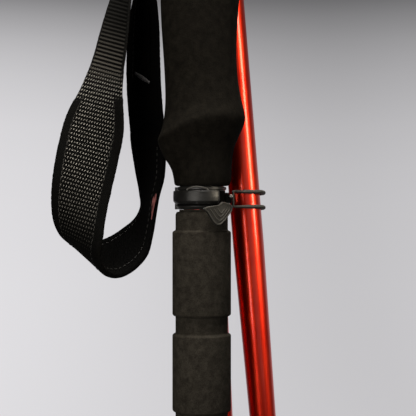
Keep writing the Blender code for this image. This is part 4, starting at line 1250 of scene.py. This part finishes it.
def make_stage():
    """A round sweep, a flat floor that curves up into a wall all round. It is pale by its own painted glow,
    dimmer towards the top, on the viewer's side and at the left back.
    """
    profile = fillet([(0, FLOOR_Z), (STAGE_R, FLOOR_Z, 1.1), (STAGE_R, 1.9)], False, steps=24)
    steps = 96
    rows = []
    for k in range(steps):
        turn = 2 * math.pi * k / steps
        rows.append([(p.x * math.cos(turn), p.x * math.sin(turn), p.y) for p in profile])
    verts, faces = grid(rows, ring=False, loop=True)
    sweep_obj = mesh_piece("studio_sweep", verts, faces, Matrix.Identity(4), sharp=180)
    weld(sweep_obj, 0.0001)
    grown = Matrix.Translation(CAMERA_AT) @ Matrix.Scale(STAGE_GROWTH, 4) @ Matrix.Translation(-CAMERA_AT)
    sweep_obj.matrix_world = grown
    paint = Paint("painted_glow_paper", roughness=0.9, specular=0.1)
    at = paint.node("TexCoord").outputs["Object"]
    split = paint.node("SeparateXYZ", {"Vector": at})
    height = paint.node("MapRange", {0: split.outputs["Z"], 1: GLOW_LOW, 2: GLOW_HIGH}).outputs[0]
    glow = paint.node("ValToRGB", {"Fac": height})
    ramp = glow.color_ramp
    while len(ramp.elements) < len(BACKDROP_GLOW):
        ramp.elements.new(0.5)
    for element, (z, level) in zip(ramp.elements, BACKDROP_GLOW):
        element.position = (z - GLOW_LOW) / (GLOW_HIGH - GLOW_LOW)
        element.color = (level, 0.985 * level, 1.015 * level, 1)
    # Painted light: the glow is dimmed on the viewer's side and at the left back, and is stronger on the left
    # than on the right
    behind = paint.span(split.outputs["Y"], -0.2, 0.75, FRONT_GLOW, 1.0)
    behind = paint.math("MULTIPLY", behind, paint.span(split.outputs["X"], -0.9, -0.5, 0.12, 1.0))
    side = paint.span(split.outputs["X"], -0.45, 0.30, 1.22, 0.89)
    side = paint.math("MULTIPLY", side, paint.span(split.outputs["X"], 0.2, 0.5, 1.0, 1.07))
    side = paint.math("POWER", side, paint.span(split.outputs["Z"], -0.1, 0.35, 1.0, 1.6))
    paint.set(Base_Color=(0.05, 0.05, 0.05, 1))
    paint.feed(paint.shader.inputs["Emission Color"], glow.outputs["Color"])
    paint.feed(paint.shader.inputs["Emission Strength"], paint.math("MULTIPLY", behind, side))
    sweep_obj.data.materials.append(paint.material)


def make_light(name, bearing, distance, height, wide, tall, glow, aim=COLLAR_Z, matte=True, colour=(1, 1, 1)):
    """A soft box of a given radiance, at a bearing in degrees from the camera's side towards +X."""
    light = bpy.data.lights.new(name, "AREA")
    light.shape = "RECTANGLE"
    light.size = wide
    light.size_y = tall
    light.energy = glow * math.pi * wide * tall
    light.color = colour
    obj = bpy.data.objects.new(name, light)
    turn = math.radians(bearing)
    target = Vector((0, 0, aim))
    obj.location = Vector((distance * math.sin(turn), -distance * math.cos(turn), height))
    obj.rotation_euler = (target - obj.location).to_track_quat("-Z", "Y").to_euler()
    obj.visible_camera = False
    obj.visible_diffuse = matte
    bpy.context.scene.collection.objects.link(obj)


def make_lights():
    warm = (1.0, 0.95, 0.88)
    make_light("right_box", 63, 0.95, 0.15, 0.24, 0.48, 26.0, matte=False, colour=(1.0, 0.88, 0.68))
    make_light("left_box", -29, 1.0, -0.12, 0.56, 0.48, 8.0, aim=-0.12, colour=warm)
    make_light("front_panel", 25, 1.3, -0.16, 0.8, 0.6, 0.55, aim=-0.16, matte=False)
    make_light("top_box", 15, 0.14, 0.62, 0.3, 0.3, 46.0, colour=warm)
    world = bpy.data.worlds.new("studio")
    world.use_nodes = True
    world.node_tree.nodes["Background"].inputs["Color"].default_value = (0.5, 0.5, 0.52, 1)
    world.node_tree.nodes["Background"].inputs["Strength"].default_value = 0.02
    bpy.context.scene.world = world
    bpy.context.scene.view_settings.view_transform = "Standard"


def main():
    make_camera()
    foam = foam_material("eva_foam", (0.0031, 0.0027, 0.0020), (0.0105, 0.0091, 0.0068))
    # A lighter copy of the grip foam for the lower grip: painted light for the extra light it gets from the left
    lower_foam_painted_lit = foam_material("extension_foam_painted_lit", (0.0125, 0.0109, 0.0085), (0.037, 0.0328, 0.0258))
    fabric = strap_material()
    thread = thread_material()
    label = label_material()
    red = anodised_material("red_anodised", (0.46, 0.012, 0.004), (0.56, 0.030, 0.010), roughness=0.35)
    bare = metal_material("bare_aluminium", (0.62, 0.62, 0.63), 0.34)
    steel = metal_material("steel", (0.52, 0.51, 0.49), 0.3)
    black = plastic_material("black_plastic", (0.004, 0.0038, 0.0035), (0.009, 0.0086, 0.008), 0.45)
    clamp = plastic_material("clamp_plastic", (0.004, 0.0038, 0.0034), (0.010, 0.0095, 0.0085), 0.42)
    lever = plastic_material("lever_plastic", (0.004, 0.0038, 0.0034), (0.009, 0.0086, 0.0078), 0.38)
    rubber = plastic_material("keeper_rubber", (0.02, 0.018, 0.0145), (0.042, 0.038, 0.031), 0.55, 0.08, 0.6)
    cord = cord_material()
    make_upper_grip(foam, black)
    # Pale grey knit for the fold's end: a painted highlight
    hem_highlight_cloth = lining_material("strap_hem_painted_highlight", (0.05, 0.05, 0.051), (0.14, 0.137, 0.14))
    lining = lining_material("strap_lining", (0.0008, 0.0008, 0.0008), (0.003, 0.0029, 0.0028))
    make_strap(fabric, lining, hem_highlight_cloth, thread, label)
    make_handle(lower_foam_painted_lit, red, bare)
    # Much paler than the clamp: a painted highlight along the collar rib's crest
    rib = plastic_material("rib_plastic_painted_highlight", (0.045, 0.042, 0.037), (0.09, 0.084, 0.075), 0.35)
    # Near-black matte paint that stands for shade in gaps and behind the lever
    painted_shade = plastic_material(
        "painted_shade_matte", (0.0008, 0.0008, 0.0008), (0.002, 0.002, 0.002), 0.9, edge=0.02, shine=0.04,
    )
    make_collar(clamp, lever, rib, painted_shade)
    tab_rubber = plastic_material(
        "tab_rubber", (0.0035, 0.0032, 0.0026), (0.008, 0.0073, 0.006), 0.7, 0.08,
        raised=(0.034, 0.031, 0.0255),
    )
    make_keeper(rubber, tab_rubber, painted_shade, metal_material("rivet_metal", (0.2, 0.19, 0.175), 0.42))
    make_sections(red, bare)
    make_tip_fittings(black, steel)
    make_cords(cord)
    slots = {
        "foam": foam, "strap": fabric, "strap_label": label, "clamp_plastic": clamp, "black_plastic": black,
        "red_tube": red, "bare_metal": bare, "steel": steel, "cord": cord, "keeper_rubber": rubber,
    }
    left_sharp = (
        "upper_tension_spring", "lower_tension_spring", "handle_cord", "mid_cord", "upper_cord", "lower_cord",
    )
    restore_rest(slots, left_sharp)
    make_stage()
    make_lights()


main()
